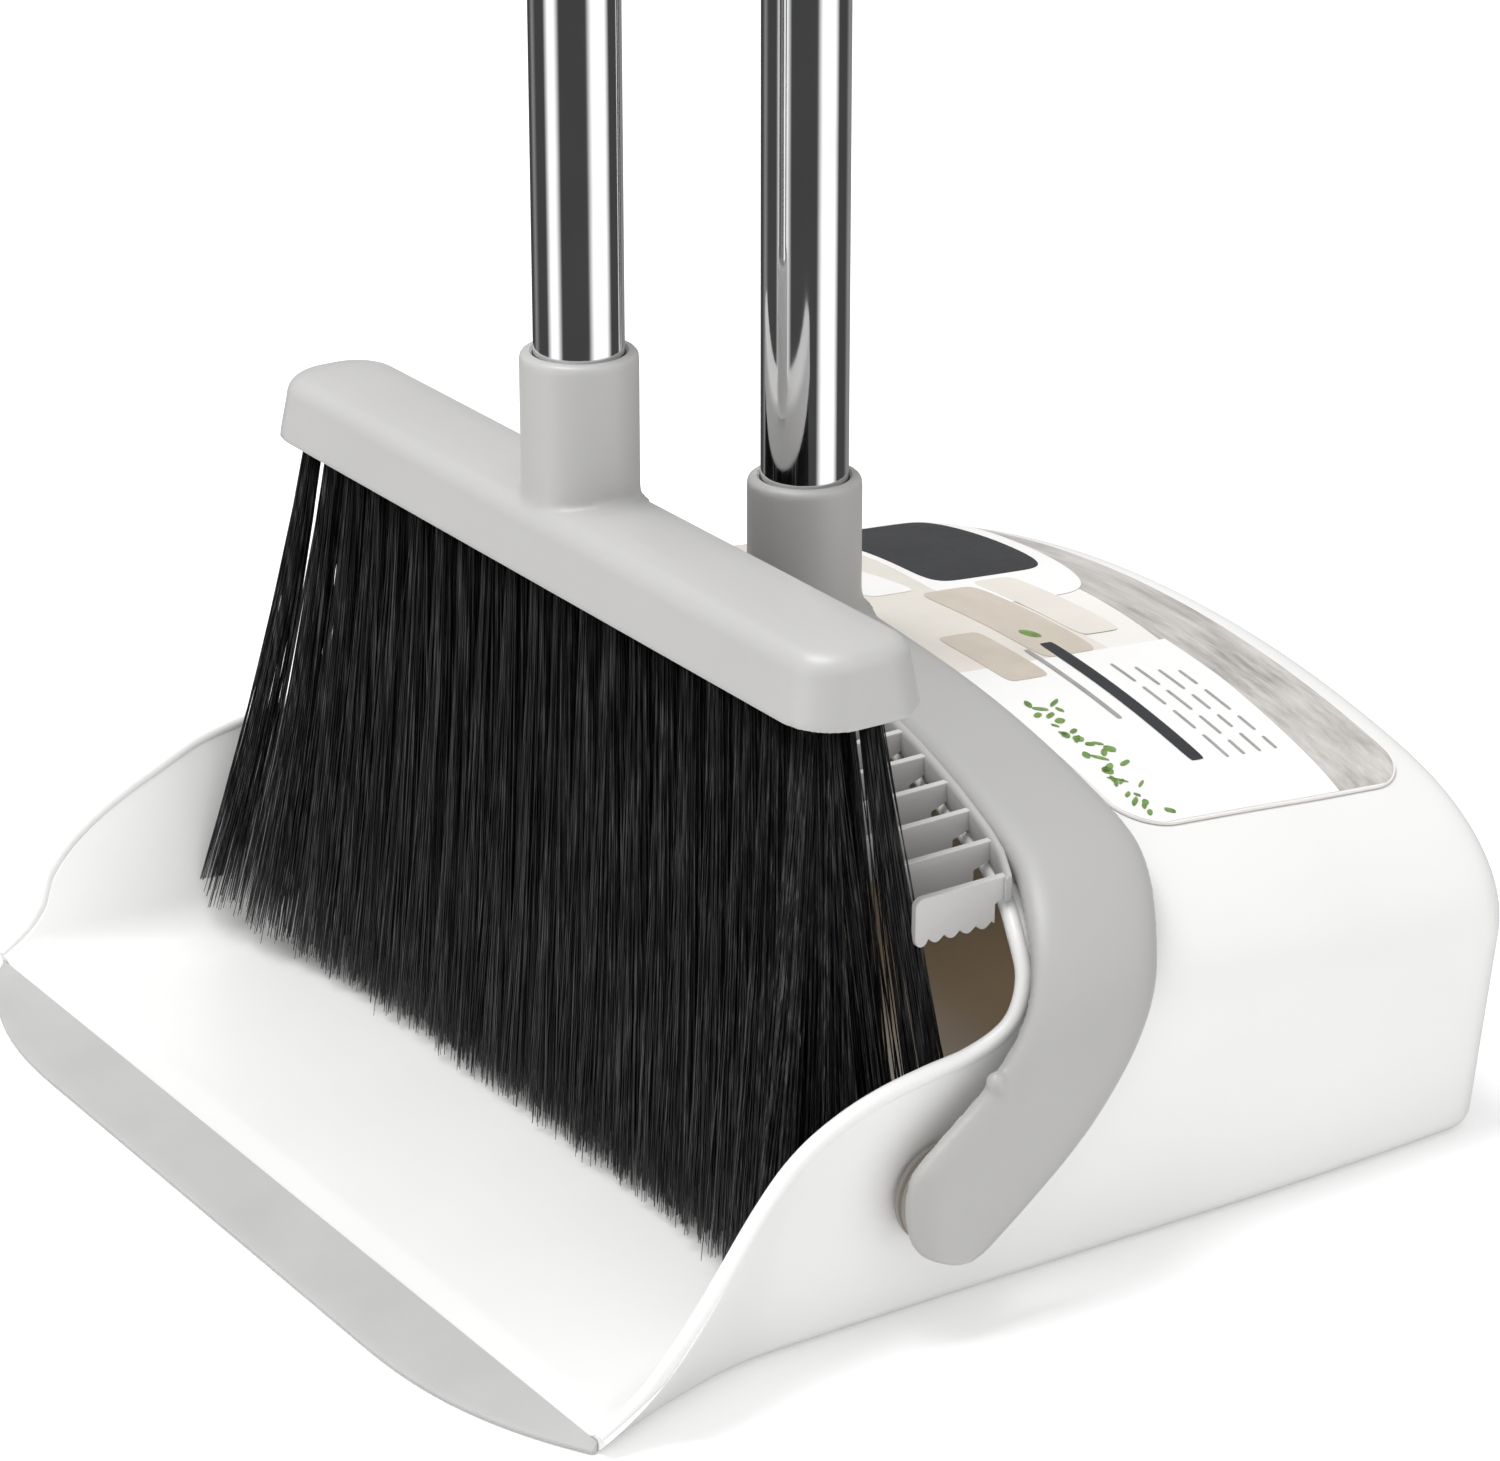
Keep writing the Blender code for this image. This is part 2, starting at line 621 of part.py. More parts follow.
def build_connector(name, middle, pole_y, body):
    """A flush collar between two tubes with a plug into each."""
    collar, plug = TUBE_OD / 2, TUBE_OD / 2 - TUBE_WALL - PLUG_GAP
    half = JOINT_COLLAR / 2
    profile = [(0.0, middle - PLUG_DEPTH), (plug, middle - PLUG_DEPTH), (plug, middle - half),
               (collar, middle - half), (collar, middle + half), (plug, middle + half),
               (plug, middle + PLUG_DEPTH), (0.0, middle + PLUG_DEPTH)]
    add_part(name, turned(profile, (0.0, pole_y, 0.0)), "grey_plastic", body)


def build_grip(name, top, length, pole_y, body):
    """A sleeve over the tube's end with a domed top and a hanging hole through it."""
    bore = TUBE_OD / 2 + BORE_GAP
    low, shoulder = top - length, top - GRIP_TOP
    profile = [(bore, low), (GRIP_RADIUS - 0.001, low), (GRIP_RADIUS, low + 0.002),
               (GRIP_RADIUS - 0.0008, low + 0.3 * length), (GRIP_RADIUS, low + 0.6 * length),
               (GRIP_RADIUS, top - 0.010), (GRIP_RADIUS * 0.86, top - 0.0045), (GRIP_RADIUS * 0.52, top - 0.001),
               (0.0, top), (0.0, shoulder), (bore, shoulder)]
    grip = add_part(name, turned(profile, (0.0, pole_y, 0.0)), "grey_plastic", body)
    hole = rod(HANGING_HOLE_RADIUS, -0.03, 0.03, (0.0, pole_y, top - GRIP_TOP / 2 - 0.001), "X", 16)
    combine(grip, hole, "DIFFERENCE", body)


def build_pole(label, socket_top, top, grip_length, pole_y, joints, body):
    """One pole: tip, tubes of equal length with their connectors, and the grip."""
    low = socket_top - SOCKET_BORE_DEPTH + 0.0003 + TIP_FLANGE + PLUG_GAP
    high = top - GRIP_TOP - BORE_GAP
    build_thread_tip(f"{label}_thread_tip", socket_top, pole_y, body)
    cuts = [low + (high - low) * (i + 1) / (len(joints) + 1) for i in range(len(joints))]
    for name, cut in zip(joints, cuts):
        build_connector(f"{label}_connector{name}", cut, pole_y, body)
    names = ("lower", "middle", "upper") if len(joints) == 2 else ("lower", "upper")
    half = JOINT_COLLAR / 2 + PLUG_GAP
    starts = [low] + [cut + half for cut in cuts]
    ends = [cut - half for cut in cuts] + [high]
    for name, start, end in zip(names, starts, ends):
        build_tube(f"{label}_tube_{name}", start, end, pole_y, body)
    build_grip(f"{label}_grip", top, grip_length, pole_y, body)


def build_pole_clip():
    """A collar round the pan's pole, a web, and an open clip round the broom's pole."""
    bore = TUBE_OD / 2 + BORE_GAP
    outer = bore + CLIP_WALL
    low, high = CLIP_Z - CLIP_HEIGHT / 2, CLIP_Z + CLIP_HEIGHT / 2
    ring = [(bore, low), (outer, low), (outer, high), (bore, high)]
    clip = add_part("pole_clip", turned(ring, (0.0, PAN_POLE_Y, 0.0)), "grey_plastic", "clip")
    combine(clip, turned(ring, (0.0, BROOM_POLE_Y, 0.0)), "UNION", "clip")
    web = [(-0.003, PAN_POLE_Y - bore - 0.001), (0.003, PAN_POLE_Y - bore - 0.001),
           (0.003, BROOM_POLE_Y + bore + 0.001), (-0.003, BROOM_POLE_Y + bore + 0.001)]
    combine(clip, loft([[(x, y, z) for x, y in web] for z in (low + 0.002, high - 0.002)]), "UNION", "clip")
    mouth_y = BROOM_POLE_Y - 0.0075
    mouth = [(-CLIP_MOUTH_HALF, mouth_y), (CLIP_MOUTH_HALF, mouth_y),
             (CLIP_MOUTH_HALF, mouth_y - 0.02), (-CLIP_MOUTH_HALF, mouth_y - 0.02)]
    combine(clip, loft([[(x, y, z) for x, y in mouth] for z in (low - 0.01, high + 0.01)]), "DIFFERENCE", "clip")


# ---- The broom -----------------------------------------------------------------------------

# The head's outside from bottom to top: (height, how far the outline is drawn in).
HEAD_PROFILE = [(HEAD_BOTTOM, 0.0), (0.1535, 0.0008), (0.1580, 0.0020), (0.1612, 0.0048), (HEAD_TOP, 0.0095)]


def head_loop(z, inset):
    corner = max(HEAD_CORNER - inset * 0.6, 0.004)
    points = rounded_rectangle(HEAD_HALF_LENGTH - inset, HEAD_HALF_WIDTH - inset, corner)
    return [(x, HEAD_Y + y, z) for x, y in points]


def build_broom_head():
    head = add_part("broom_head", loft([head_loop(z, inset) for z, inset in HEAD_PROFILE]), "grey_plastic", "broom")
    cavity = [head_loop(z, HEAD_WALL) for z in (HEAD_BOTTOM - 0.01, HEAD_BOTTOM + 0.0115)]
    combine(head, loft(cavity), "DIFFERENCE", "broom")
    combine(head, socket_body(HEAD_TOP - 0.004, BROOM_SOCKET_TOP, BROOM_POLE_Y, 0.0030), "UNION", "broom")
    combine(head, socket_bore(BROOM_SOCKET_TOP, BROOM_POLE_Y), "DIFFERENCE", "broom")


def build_tuft_block():
    inset = HEAD_WALL + 0.0005
    loops = [head_loop(z, inset) for z in (HEAD_BOTTOM + 0.0015, HEAD_BOTTOM + 0.0110)]
    add_part("tuft_block", loft(loops), "inner_plastic", "broom")


# Each row of bristles: name, then front and rear y at the root, and front and rear y at the tips.
BRISTLE_ROWS = [
    ("front", -0.0520, -0.0440, -0.0580, -0.0480),
    ("middle", -0.0436, -0.0360, -0.0476, -0.0372),
    ("rear", -0.0356, -0.0275, -0.0368, -0.0275),
]
# Half the bristles' width by height: they spread below the head and close in over the pan's floor.
BRISTLE_WIDTHS = [(0.1462, 0.1190), (0.1000, 0.1320), (0.0280, 0.1320), (0.0120, 0.1260), (0.0052, 0.1180)]


def build_bristle_rows():
    """Each row is one flat slab that flares towards its tips."""
    root_z, tip_z = BRISTLE_WIDTHS[0][0], BRISTLE_WIDTHS[-1][0]
    for name, root_front, root_rear, tip_front, tip_rear in BRISTLE_ROWS:
        loops = []
        for z, half in BRISTLE_WIDTHS:
            share = (root_z - z) / (root_z - tip_z)
            front = root_front + (tip_front - root_front) * share
            rear = root_rear + (tip_rear - root_rear) * share
            loops.append([(-half, front, z), (half, front, z), (half, rear, z), (-half, rear, z)])
        add_part(f"bristle_row_{name}", loft(loops), "bristle_fibre", "broom")


def build():
    clear_scene()
    make_empties()
    build_pan_shell()
    build_lip_strip()
    build_label()
    build_pivots()
    build_yoke()
    build_comb()
    build_pole("pan", PAN_SOCKET_TOP, PAN_POLE_TOP, PAN_GRIP_LENGTH, PAN_POLE_Y, [""], "handle")
    build_pole_clip()
    build_broom_head()
    build_tuft_block()
    build_bristle_rows()
    build_pole("broom", BROOM_SOCKET_TOP, BROOM_POLE_TOP, BROOM_GRIP_LENGTH, BROOM_POLE_Y,
               ["_lower", "_upper"], "broom")


build()
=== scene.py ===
"""Looks of the long-handled broom and dustpan set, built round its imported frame. Metres, +Z up."""

import math
import random

import bmesh
import bpy
import numpy as np
from mathutils import Matrix, Vector


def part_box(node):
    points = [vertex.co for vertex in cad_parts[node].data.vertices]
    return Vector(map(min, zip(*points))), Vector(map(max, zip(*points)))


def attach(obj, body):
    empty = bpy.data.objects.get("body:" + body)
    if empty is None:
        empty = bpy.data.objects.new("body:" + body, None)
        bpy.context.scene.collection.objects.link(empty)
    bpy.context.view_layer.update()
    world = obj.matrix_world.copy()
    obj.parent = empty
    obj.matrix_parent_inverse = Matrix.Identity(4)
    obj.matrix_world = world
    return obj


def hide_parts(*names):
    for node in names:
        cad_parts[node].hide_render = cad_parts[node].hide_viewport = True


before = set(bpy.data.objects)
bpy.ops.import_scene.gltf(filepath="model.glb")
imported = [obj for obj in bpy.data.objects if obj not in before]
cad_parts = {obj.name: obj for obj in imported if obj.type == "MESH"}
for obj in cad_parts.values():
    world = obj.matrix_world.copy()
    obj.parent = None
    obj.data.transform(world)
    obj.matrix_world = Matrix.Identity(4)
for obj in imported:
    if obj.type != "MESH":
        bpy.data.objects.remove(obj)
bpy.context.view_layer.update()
rng = random.Random(20)

# ---- Dimensions, as in the CAD source --------------------------------------------------------

TUBE_R = 0.0110
PAN_FRONT, PAN_BACK = -0.1275, 0.1438
PAN_HALF, LIP_HALF = 0.1370, 0.1520
WALL = 0.0030
LIP_THICK = 0.0022
CREST, FALL, ROOF_R = 0.1128, 0.070, 0.390
PIVOT_Y, PIVOT_Z = -0.0300, 0.0335
YOKE_X, YOKE_T, YOKE_CREST, YOKE_R = 0.1550, 0.0068, 0.1215, 0.400
PAN_POLE_Y, PAN_SOCKET_TOP = 0.0277, 0.1548
BROOM_POLE_Y, BROOM_SOCKET_TOP = -0.0372, 0.1984
SOCKET_R, BORE_R = 0.0144, 0.01138
HEAD_X, HEAD_W, HEAD_Y = 0.1295, 0.0175, -0.0385
HEAD_BOTTOM, HEAD_TOP = 0.1450, 0.1632
OUTER_FILLET = 0.0040
BOSS_R, BOSS_WALL_GAP, BOSS_ARM_GAP, BOSS_GROOVE = 0.0125, 0.0010, 0.0004, 0.0007
PIN_BORE_R = 0.00435
LIP_LENGTH, LIP_BACK_THICK, LIP_DRAW, LIP_STRAIGHT = 0.0200, 0.0028, 0.0185, 0.080

RIM = [(-0.1290, 0.0030), (-0.1210, 0.0080), (-0.1147, 0.0140), (-0.1100, 0.0220), (-0.1020, 0.0310),
       (-0.0920, 0.0400), (-0.0820, 0.0475), (-0.0700, 0.0550), (-0.0573, 0.0592), (-0.0450, 0.0617),
       (-0.0325, 0.0632), (-0.0200, 0.0646), (-0.0099, 0.0693), (-0.0042, 0.0777), (-0.0018, 0.0850),
       (0.0000, 0.0890), (0.0060, 0.0980), (0.0130, 0.1080), (0.0175, 0.1160), (0.0200, 0.1300)]
ARM_EDGES = [(0.0200, -0.0365, -0.0235), (0.0230, -0.0402, -0.0185), (0.0280, -0.0428, -0.0110),
             (0.0360, -0.0437, -0.0005), (0.0440, -0.0415, 0.0080), (0.0520, -0.0318, 0.0140),
             (0.0600, -0.0213, 0.0185), (0.0680, -0.0147, 0.0222)]
ARCH_EDGES = [(0.1540, -0.0100, 0.0260), (0.1500, -0.0065, 0.0285), (0.1440, -0.0035, 0.0318),
              (0.1380, -0.0010, 0.0350), (0.1310, 0.0020, 0.0378), (0.1250, 0.0045, 0.0392),
              (0.1180, 0.0062, 0.0400), (0.1015, 0.0088, 0.0408), (0.0800, 0.0115, 0.0412),
              (0.0600, 0.0132, 0.0415), (0.0250, 0.0142, 0.0425)]

# ---- Node materials --------------------------------------------------------------------------


class Mat:
    """A Principled material with small helpers for its nodes."""

    def __init__(self, name, rough=0.5, metal=0.0, specular=0.5):
        self.m = bpy.data.materials.new(name)
        self.m.use_nodes = True
        self.t = self.m.node_tree
        self.b = self.t.nodes["Principled BSDF"]
        self.b.inputs["Roughness"].default_value = rough
        self.b.inputs["Metallic"].default_value = metal
        self.b.inputs["Specular IOR Level"].default_value = specular
        self.place = self.t.nodes.new("ShaderNodeTexCoord").outputs["Object"]

    def add(self, kind, **values):
        made = self.t.nodes.new(kind)
        for key, value in values.items():
            setattr(made, key, value)
        return made

    def mapped(self, scale):
        made = self.add("ShaderNodeMapping")
        made.inputs["Scale"].default_value = scale
        self.t.links.new(self.place, made.inputs["Vector"])
        return made.outputs["Vector"]

    def noise(self, scale, detail=3.0, rough=0.55, stretch=(1, 1, 1)):
        made = self.add("ShaderNodeTexNoise")
        made.inputs["Scale"].default_value = scale
        made.inputs["Detail"].default_value = detail
        made.inputs["Roughness"].default_value = rough
        self.t.links.new(self.mapped(stretch), made.inputs["Vector"])
        return made.outputs["Fac"]

    def ramp(self, fac, stops):
        made = self.add("ShaderNodeValToRGB")
        ramp = made.color_ramp
        while len(ramp.elements) < len(stops):
            ramp.elements.new(0.5)
        for element, (place, colour) in zip(ramp.elements, stops):
            element.position = place
            element.color = (*colour, 1.0) if len(colour) == 3 else colour
        self.t.links.new(fac, made.inputs["Fac"])
        return made.outputs["Color"]

    def span(self, fac, low, high, start=0.3, end=0.7):
        made = self.add("ShaderNodeMapRange")
        for socket, value in (("From Min", start), ("From Max", end), ("To Min", low), ("To Max", high)):
            made.inputs[socket].default_value = value
        self.t.links.new(fac, made.inputs["Value"])
        return made.outputs["Result"]

    def mix(self, fac, a, b, blend="MIX"):
        made = self.add("ShaderNodeMix", data_type="RGBA", blend_type=blend)
        if isinstance(fac, (int, float)):
            made.inputs["Factor"].default_value = fac
        else:
            self.t.links.new(fac, made.inputs["Factor"])
        for socket, value in ((6, a), (7, b)):
            if isinstance(value, tuple):
                made.inputs[socket].default_value = (*value, 1.0)
            else:
                self.t.links.new(value, made.inputs[socket])
        return made.outputs[2]

    def colour(self, out):
        self.t.links.new(out, self.b.inputs["Base Color"])

    def roughness(self, out):
        self.t.links.new(out, self.b.inputs["Roughness"])

    def bump(self, *layers):
        """Each layer is (height output, distance in metres); the layers are stacked."""
        normal = None
        for height, distance in layers:
            made = self.add("ShaderNodeBump")
            made.inputs["Distance"].default_value = distance
            made.inputs["Strength"].default_value = 0.6
            self.t.links.new(height, made.inputs["Height"])
            if normal is not None:
                self.t.links.new(normal, made.inputs["Normal"])
            normal = made.outputs["Normal"]
        self.t.links.new(normal, self.b.inputs["Normal"])


def shade(colour, factor):
    return tuple(min(1.0, c * factor) for c in colour)


GRAIN, WAVE = 0.00003, 0.00012


def moulded(name, colour, rough, wear=0.04):
    """Moulded plastic: fine spark grain, slow waviness, faint flow lines and lighter worn edges."""
    mat = Mat(name, rough)
    slow, fine = mat.noise(14, 2.0), mat.noise(1500, 2.0)
    flow = mat.noise(30, 4.0, 0.6, (1, 0.25, 0.25))
    base = mat.ramp(slow, [(0.30, shade(colour, 0.975)), (0.70, shade(colour, 1.015))])
    base = mat.mix(mat.span(flow, 0.0, 0.35), base, shade(colour, 0.965))
    pointy = mat.add("ShaderNodeNewGeometry").outputs["Pointiness"]
    edge = mat.span(pointy, 0.0, 1.0, 0.53, 0.60)
    mat.colour(mat.mix(mat.span(edge, 0.0, wear, 0.0, 1.0), base, (1.0, 0.99, 0.97)))
    mat.roughness(mat.span(flow, rough - 0.05, rough + 0.06))
    mat.bump((fine, GRAIN), (slow, WAVE))
    return mat.m


def chrome(name):
    """Drawn and polished steel: long faint lines along the tube and slight haze."""
    mat = Mat(name, 0.07, 1.0)
    lines = mat.noise(900, 2.0, 0.5, (1, 1, 0.006))
    haze = mat.noise(45, 3.0)
    mat.colour(mat.ramp(haze, [(0.3, (0.82, 0.82, 0.83)), (0.7, (0.90, 0.90, 0.905))]))
    mat.roughness(mat.span(lines, 0.045, 0.10))
    mat.bump((lines, 0.000004))
    return mat.m


def rubber(name, colour):
    mat = Mat(name, 0.62, specular=0.35)
    fine, slow = mat.noise(2200, 3.0), mat.noise(35, 3.0)
    streak = mat.noise(60, 4.0, 0.6, (0.12, 1, 1))
    base = mat.ramp(slow, [(0.3, shade(colour, 0.96)), (0.7, shade(colour, 1.03))])
    mat.colour(mat.mix(mat.span(streak, 0.0, 0.3), base, shade(colour, 0.93)))
    mat.roughness(mat.span(slow, 0.56, 0.70))
    mat.bump((fine, 0.00006), (streak, 0.00005))
    return mat.m


def fibre(name):
    """Black synthetic fibre: each strand a little lighter or darker at random, with a soft sheen; the
    lightest strands are painted highlights.
    """
    mat = Mat(name, 0.42, specular=0.42)
    strand = mat.noise(700, 2.0, 0.6, (1, 1, 0.02))
    along = mat.noise(160, 3.0)
    # The top stop paints highlights on the lighter strands; the lower stops are the fibre's own random tone.
    base = mat.ramp(strand, [(0.32, (0.0045, 0.0045, 0.0050)), (0.50, (0.018, 0.018, 0.019)),
                             (0.66, (0.085, 0.085, 0.089))])
    mat.colour(mat.mix(mat.span(along, 0.0, 0.5), base, (0.006, 0.006, 0.0065)))
    mat.roughness(mat.span(along, 0.30, 0.48))
    mat.bump((mat.noise(1800, 2.0), 0.00004))
    return mat.m


INK_ROUGH = 0.32


def print_ink(name, colour, vary=0.04, scale=180):
    """Ink on film: fine mottle under a smooth face."""
    mat = Mat(name, INK_ROUGH)
    fac = mat.noise(scale, 4.0)
    mat.colour(mat.ramp(fac, [(0.3, shade(colour, 1 - vary)), (0.7, shade(colour, 1 + vary))]))
    mat.roughness(mat.span(mat.noise(30), INK_ROUGH - 0.04, INK_ROUGH + 0.05))
    mat.bump((mat.noise(900), 0.00001))
    return mat.m


def wood_print(name):
    """Printed grey boards with long grain."""
    mat = Mat(name, 0.33)
    grain = mat.noise(260, 6.0, 0.65, (0.10, 1, 1))
    board = mat.noise(34, 1.0, 0.4, (0.5, 3, 1))
    base = mat.ramp(grain, [(0.32, (0.31, 0.295, 0.28)), (0.50, (0.52, 0.50, 0.48)),
                            (0.68, (0.68, 0.66, 0.64))])
    mat.colour(mat.mix(mat.span(board, 0.0, 0.45), base, (0.50, 0.48, 0.46)))
    mat.roughness(mat.span(board, 0.30, 0.38))
    mat.bump((grain, 0.00001))
    return mat.m


WHITE = moulded("white_plastic_fine", (0.825, 0.823, 0.812), 0.34, wear=0.10)
GREY = moulded("grey_plastic_fine", (0.430, 0.426, 0.418), 0.42, wear=0.16)
HEAD_GREY = moulded("head_plastic_fine", (0.470, 0.466, 0.458), 0.40, wear=0.16)
TOOTH_GREY = moulded("comb_plastic_fine", (0.580, 0.570, 0.560), 0.40, wear=0.20)
# Beige of the bosses and pivot pins, made darker than the plastic to paint the shade of the recess between
# the side wall and the arm.
BEIGE_WITH_PAINTED_SHADE = moulded("pivot_beige_painted_shade", (0.27, 0.25, 0.22), 0.45)
DARK = moulded("inner_plastic_fine", (0.045, 0.045, 0.048), 0.50)
LIP = rubber("lip_rubber", (0.460, 0.458, 0.453))
STEEL = chrome("polished_tube")
FIBRE_WITH_PAINTED_HIGHLIGHTS = fibre("bristle_fibre_painted_highlights")
FILM = print_ink("film_base", (0.84, 0.82, 0.79), 0.02, scale=40)
BOARDS = wood_print("print_boards")
CHARCOAL = print_ink("print_charcoal", (0.030, 0.031, 0.034), 0.25, scale=500)
PAPER = print_ink("print_white", (0.90, 0.895, 0.88), 0.01)
SAND = print_ink("print_sand", (0.60, 0.54, 0.46), 0.05, scale=120)
CREAM = print_ink("print_cream", (0.76, 0.72, 0.66), 0.03, scale=60)
INK = print_ink("print_ink", (0.035, 0.037, 0.042), 0.10)
TEXT_GREY = print_ink("print_grey", (0.36, 0.352, 0.345), 0.10)
LEAF = print_ink("print_leaf", (0.17, 0.30, 0.075), 0.35, scale=420)

# ---- Small tools -----------------------------------------------------------------------------


def between(points, value):
    return float(np.interp(value, [p[0] for p in points], [p[1] for p in points]))


def smooth_path(points, steps):
    """Points on a Catmull-Rom curve through the given ones."""
    path = []
    for i in range(len(points) - 1):
        p, q = points[max(i - 1, 0)], points[i]
        r, s = points[i + 1], points[min(i + 2, len(points) - 1)]
        for step in range(steps):
            t = step / steps
            path.append(tuple(
                0.5 * (2 * b + (c - a) * t + (2 * a - 5 * b + 4 * c - d) * t**2
                       + (3 * b - a - 3 * c + d) * t**3)
                for a, b, c, d in zip(p, q, r, s)))
    path.append(tuple(points[-1]))
    return path


def corner_curve(start, start_way, end, end_way, steps):
    """A round corner from start to end, leaving and arriving along the two given directions."""
    cross = start_way[0] * end_way[1] - start_way[1] * end_way[0]
    apart = (end[0] - start[0], end[1] - start[1])
    reach = (apart[0] * end_way[1] - apart[1] * end_way[0]) / cross
    meet = [start[i] + reach * start_way[i] for i in (0, 1)]
    first = [start[i] + 0.62 * (meet[i] - start[i]) for i in (0, 1)]
    second = [end[i] + 0.62 * (meet[i] - end[i]) for i in (0, 1)]
    curve = []
    for step in range(steps + 1):
        t = step / steps
        curve.append(tuple((1 - t)**3 * start[i] + 3 * (1 - t)**2 * t * first[i]
                           + 3 * (1 - t) * t**2 * second[i] + t**3 * end[i] for i in (0, 1)))
    return curve


def link(name, mesh, material, body, replaced=(), sharp=40):
    """A piece from a mesh: shaded, given its material, riding on its body."""
    piece = bpy.data.objects.new(name, mesh)
    bpy.context.scene.collection.objects.link(piece)
    if material is not None:
        mesh.materials.append(material)
    mesh.shade_smooth()
    if sharp:
        mesh.set_sharp_from_angle(angle=math.radians(sharp))
    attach(piece, body)
    if replaced:
        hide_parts(*replaced)
    return piece


def mesh_of(bm, name, weld=1e-6):
    bmesh.ops.remove_doubles(bm, verts=bm.verts, dist=weld)
    bmesh.ops.recalc_face_normals(bm, faces=bm.faces)
    mesh = bpy.data.meshes.new(name)
    bm.to_mesh(mesh)
    bm.free()
    return mesh


def loft(bm, loops, ring=False):
    """Adds a surface through loops of equal length, each one closed."""
    rows = [[bm.verts.new(point) for point in loop] for loop in loops]
    pairs = list(zip(rows, rows[1:]))
    if ring:
        pairs.append((rows[-1], rows[0]))
    for low, high in pairs:
        for i in range(len(low)):
            j = (i + 1) % len(low)
            bm.faces.new((low[i], low[j], high[j], high[i]))
    if not ring:
        bm.faces.new(rows[0])
        bm.faces.new(rows[-1])


def turned(bm, profile, centre, segments=64, front_limit=None):
    """Adds a closed profile of (radius, height) turned about the upright axis through centre."""
    loops = []
    for step in range(segments):
        angle = 2 * math.pi * step / segments
        loop = []
        for radius, height in profile:
            y = centre[1] + radius * math.sin(angle)
            if front_limit is not None:
                y = max(y, front_limit)
            loop.append((centre[0] + radius * math.cos(angle), y, height))
        loops.append(loop)
    loft(bm, loops, ring=True)


def helper(name, bm):
    """An object that only feeds a modifier and is removed again."""
    made = bpy.data.objects.new(name, mesh_of(bm, name))
    bpy.context.scene.collection.objects.link(made)
    return made


def remeshed(name, solids, voxel, smooth, cuts=()):
    """Solids fused by a voxel remesh, softened, then cut; returns the plain mesh that results."""
    whole = bmesh.new()
    for solid in solids:
        solid(whole)
    body = helper(name, whole)
    fuse = body.modifiers.new("fuse", "REMESH")
    fuse.mode = "VOXEL"
    fuse.voxel_size = voxel
    soften = body.modifiers.new("soften", "SMOOTH")
    soften.factor = 0.5
    soften.iterations = smooth
    tools = []
    for i, cut in enumerate(cuts):
        bm = bmesh.new()
        cut(bm)
        tool = helper(f"{name}_cut_{i}", bm)
        boolean = body.modifiers.new("cut", "BOOLEAN")
        boolean.operation = "DIFFERENCE"
        boolean.solver = "EXACT"
        boolean.object = tool
        tools.append(tool)
    bpy.context.view_layer.update()
    result = bpy.data.meshes.new_from_object(body.evaluated_get(bpy.context.evaluated_depsgraph_get()))
    result.name = name
    for made in [body, *tools]:
        bpy.data.objects.remove(made, do_unlink=True)
    return result


# ---- The pan ---------------------------------------------------------------------------------

RIM_FINE = smooth_path(RIM, 6)


def base_half_width(y):
    front = max(0.0, (-y - 0.075) / 0.053)
    back = max(0.0, (y - 0.060) / 0.085)
    return PAN_HALF + (LIP_HALF - PAN_HALF) * front**1.5 - 0.0030 * back**2


def side_slope(y):
    ahead = max(0.0, (-y - 0.020) / 0.100)
    return 0.09 + 0.08 * ahead + 0.70 * ahead**3


def crest_height(y):
    return CREST - FALL * y


def outline(y, inset, fillet, floor):
    """Half a section from the foot of the wall to the crest, and where its upper corner starts."""
    slope = side_slope(y)
    base = base_half_width(y) - inset
    lean = math.atan2(1.0, slope)
    foot = base - fillet * math.tan(lean / 2)
    points = [(foot + fillet * math.sin(lean * s / 12), floor + fillet * (1 - math.cos(lean * s / 12)))
              for s in range(13)]
    share = min(max(y / 0.100, 0.0), 1.0)
    corner_x = 0.114 - 0.018 * share
    corner_z = min(0.066 - 0.012 * share, between(RIM_FINE, y) + 0.008)
    corner_z = max(corner_z, points[-1][1] + 0.004)
    side = (base + slope * (corner_z - floor), corner_z)
    crest = crest_height(y) - inset
    roof = (corner_x, crest - corner_x**2 / (2 * ROOF_R))
    points += corner_curve(side, (slope, 1.0), roof, (-1.0, corner_x / ROOF_R), 24)
    start = len(points) - 25
    for s in range(1, 25):
        x = corner_x * (1 - s / 24)
        points.append((x, crest - x**2 / (2 * ROOF_R)))
    return np.array(points), start


FLOOR_STEPS, WALL_STEPS = 10, 84


def section(y, outer, cut):
    """Half a section as (x, z) from the floor's middle to the rim or crest. cut is the length left off
    below the crest, measured on this face."""
    edge = min(1.0, (y - PAN_FRONT) / 0.008)
    if outer:
        inset, fillet, floor = 0.0, 0.0016 + 0.0024 * edge, 0.0
    else:
        inset, fillet = WALL, 0.0048 + 0.0112 * edge
        floor = LIP_THICK + (WALL - LIP_THICK) * edge
    points, start = outline(y, inset, fillet, floor)
    reach = np.concatenate([[0.0], np.cumsum(np.hypot(*np.diff(points, axis=0).T))])
    total = reach[-1] - cut
    places = total * np.linspace(0, 1, WALL_STEPS + 1)**1.35
    xs, zs = np.interp(places, reach, points[:, 0]), np.interp(places, reach, points[:, 1])
    floor_xs = np.linspace(0, xs[0], FLOOR_STEPS + 1)[:-1]
    return (np.concatenate([floor_xs, xs]), np.concatenate([np.full(FLOOR_STEPS, floor), zs]),
            reach[-1] - reach[start])


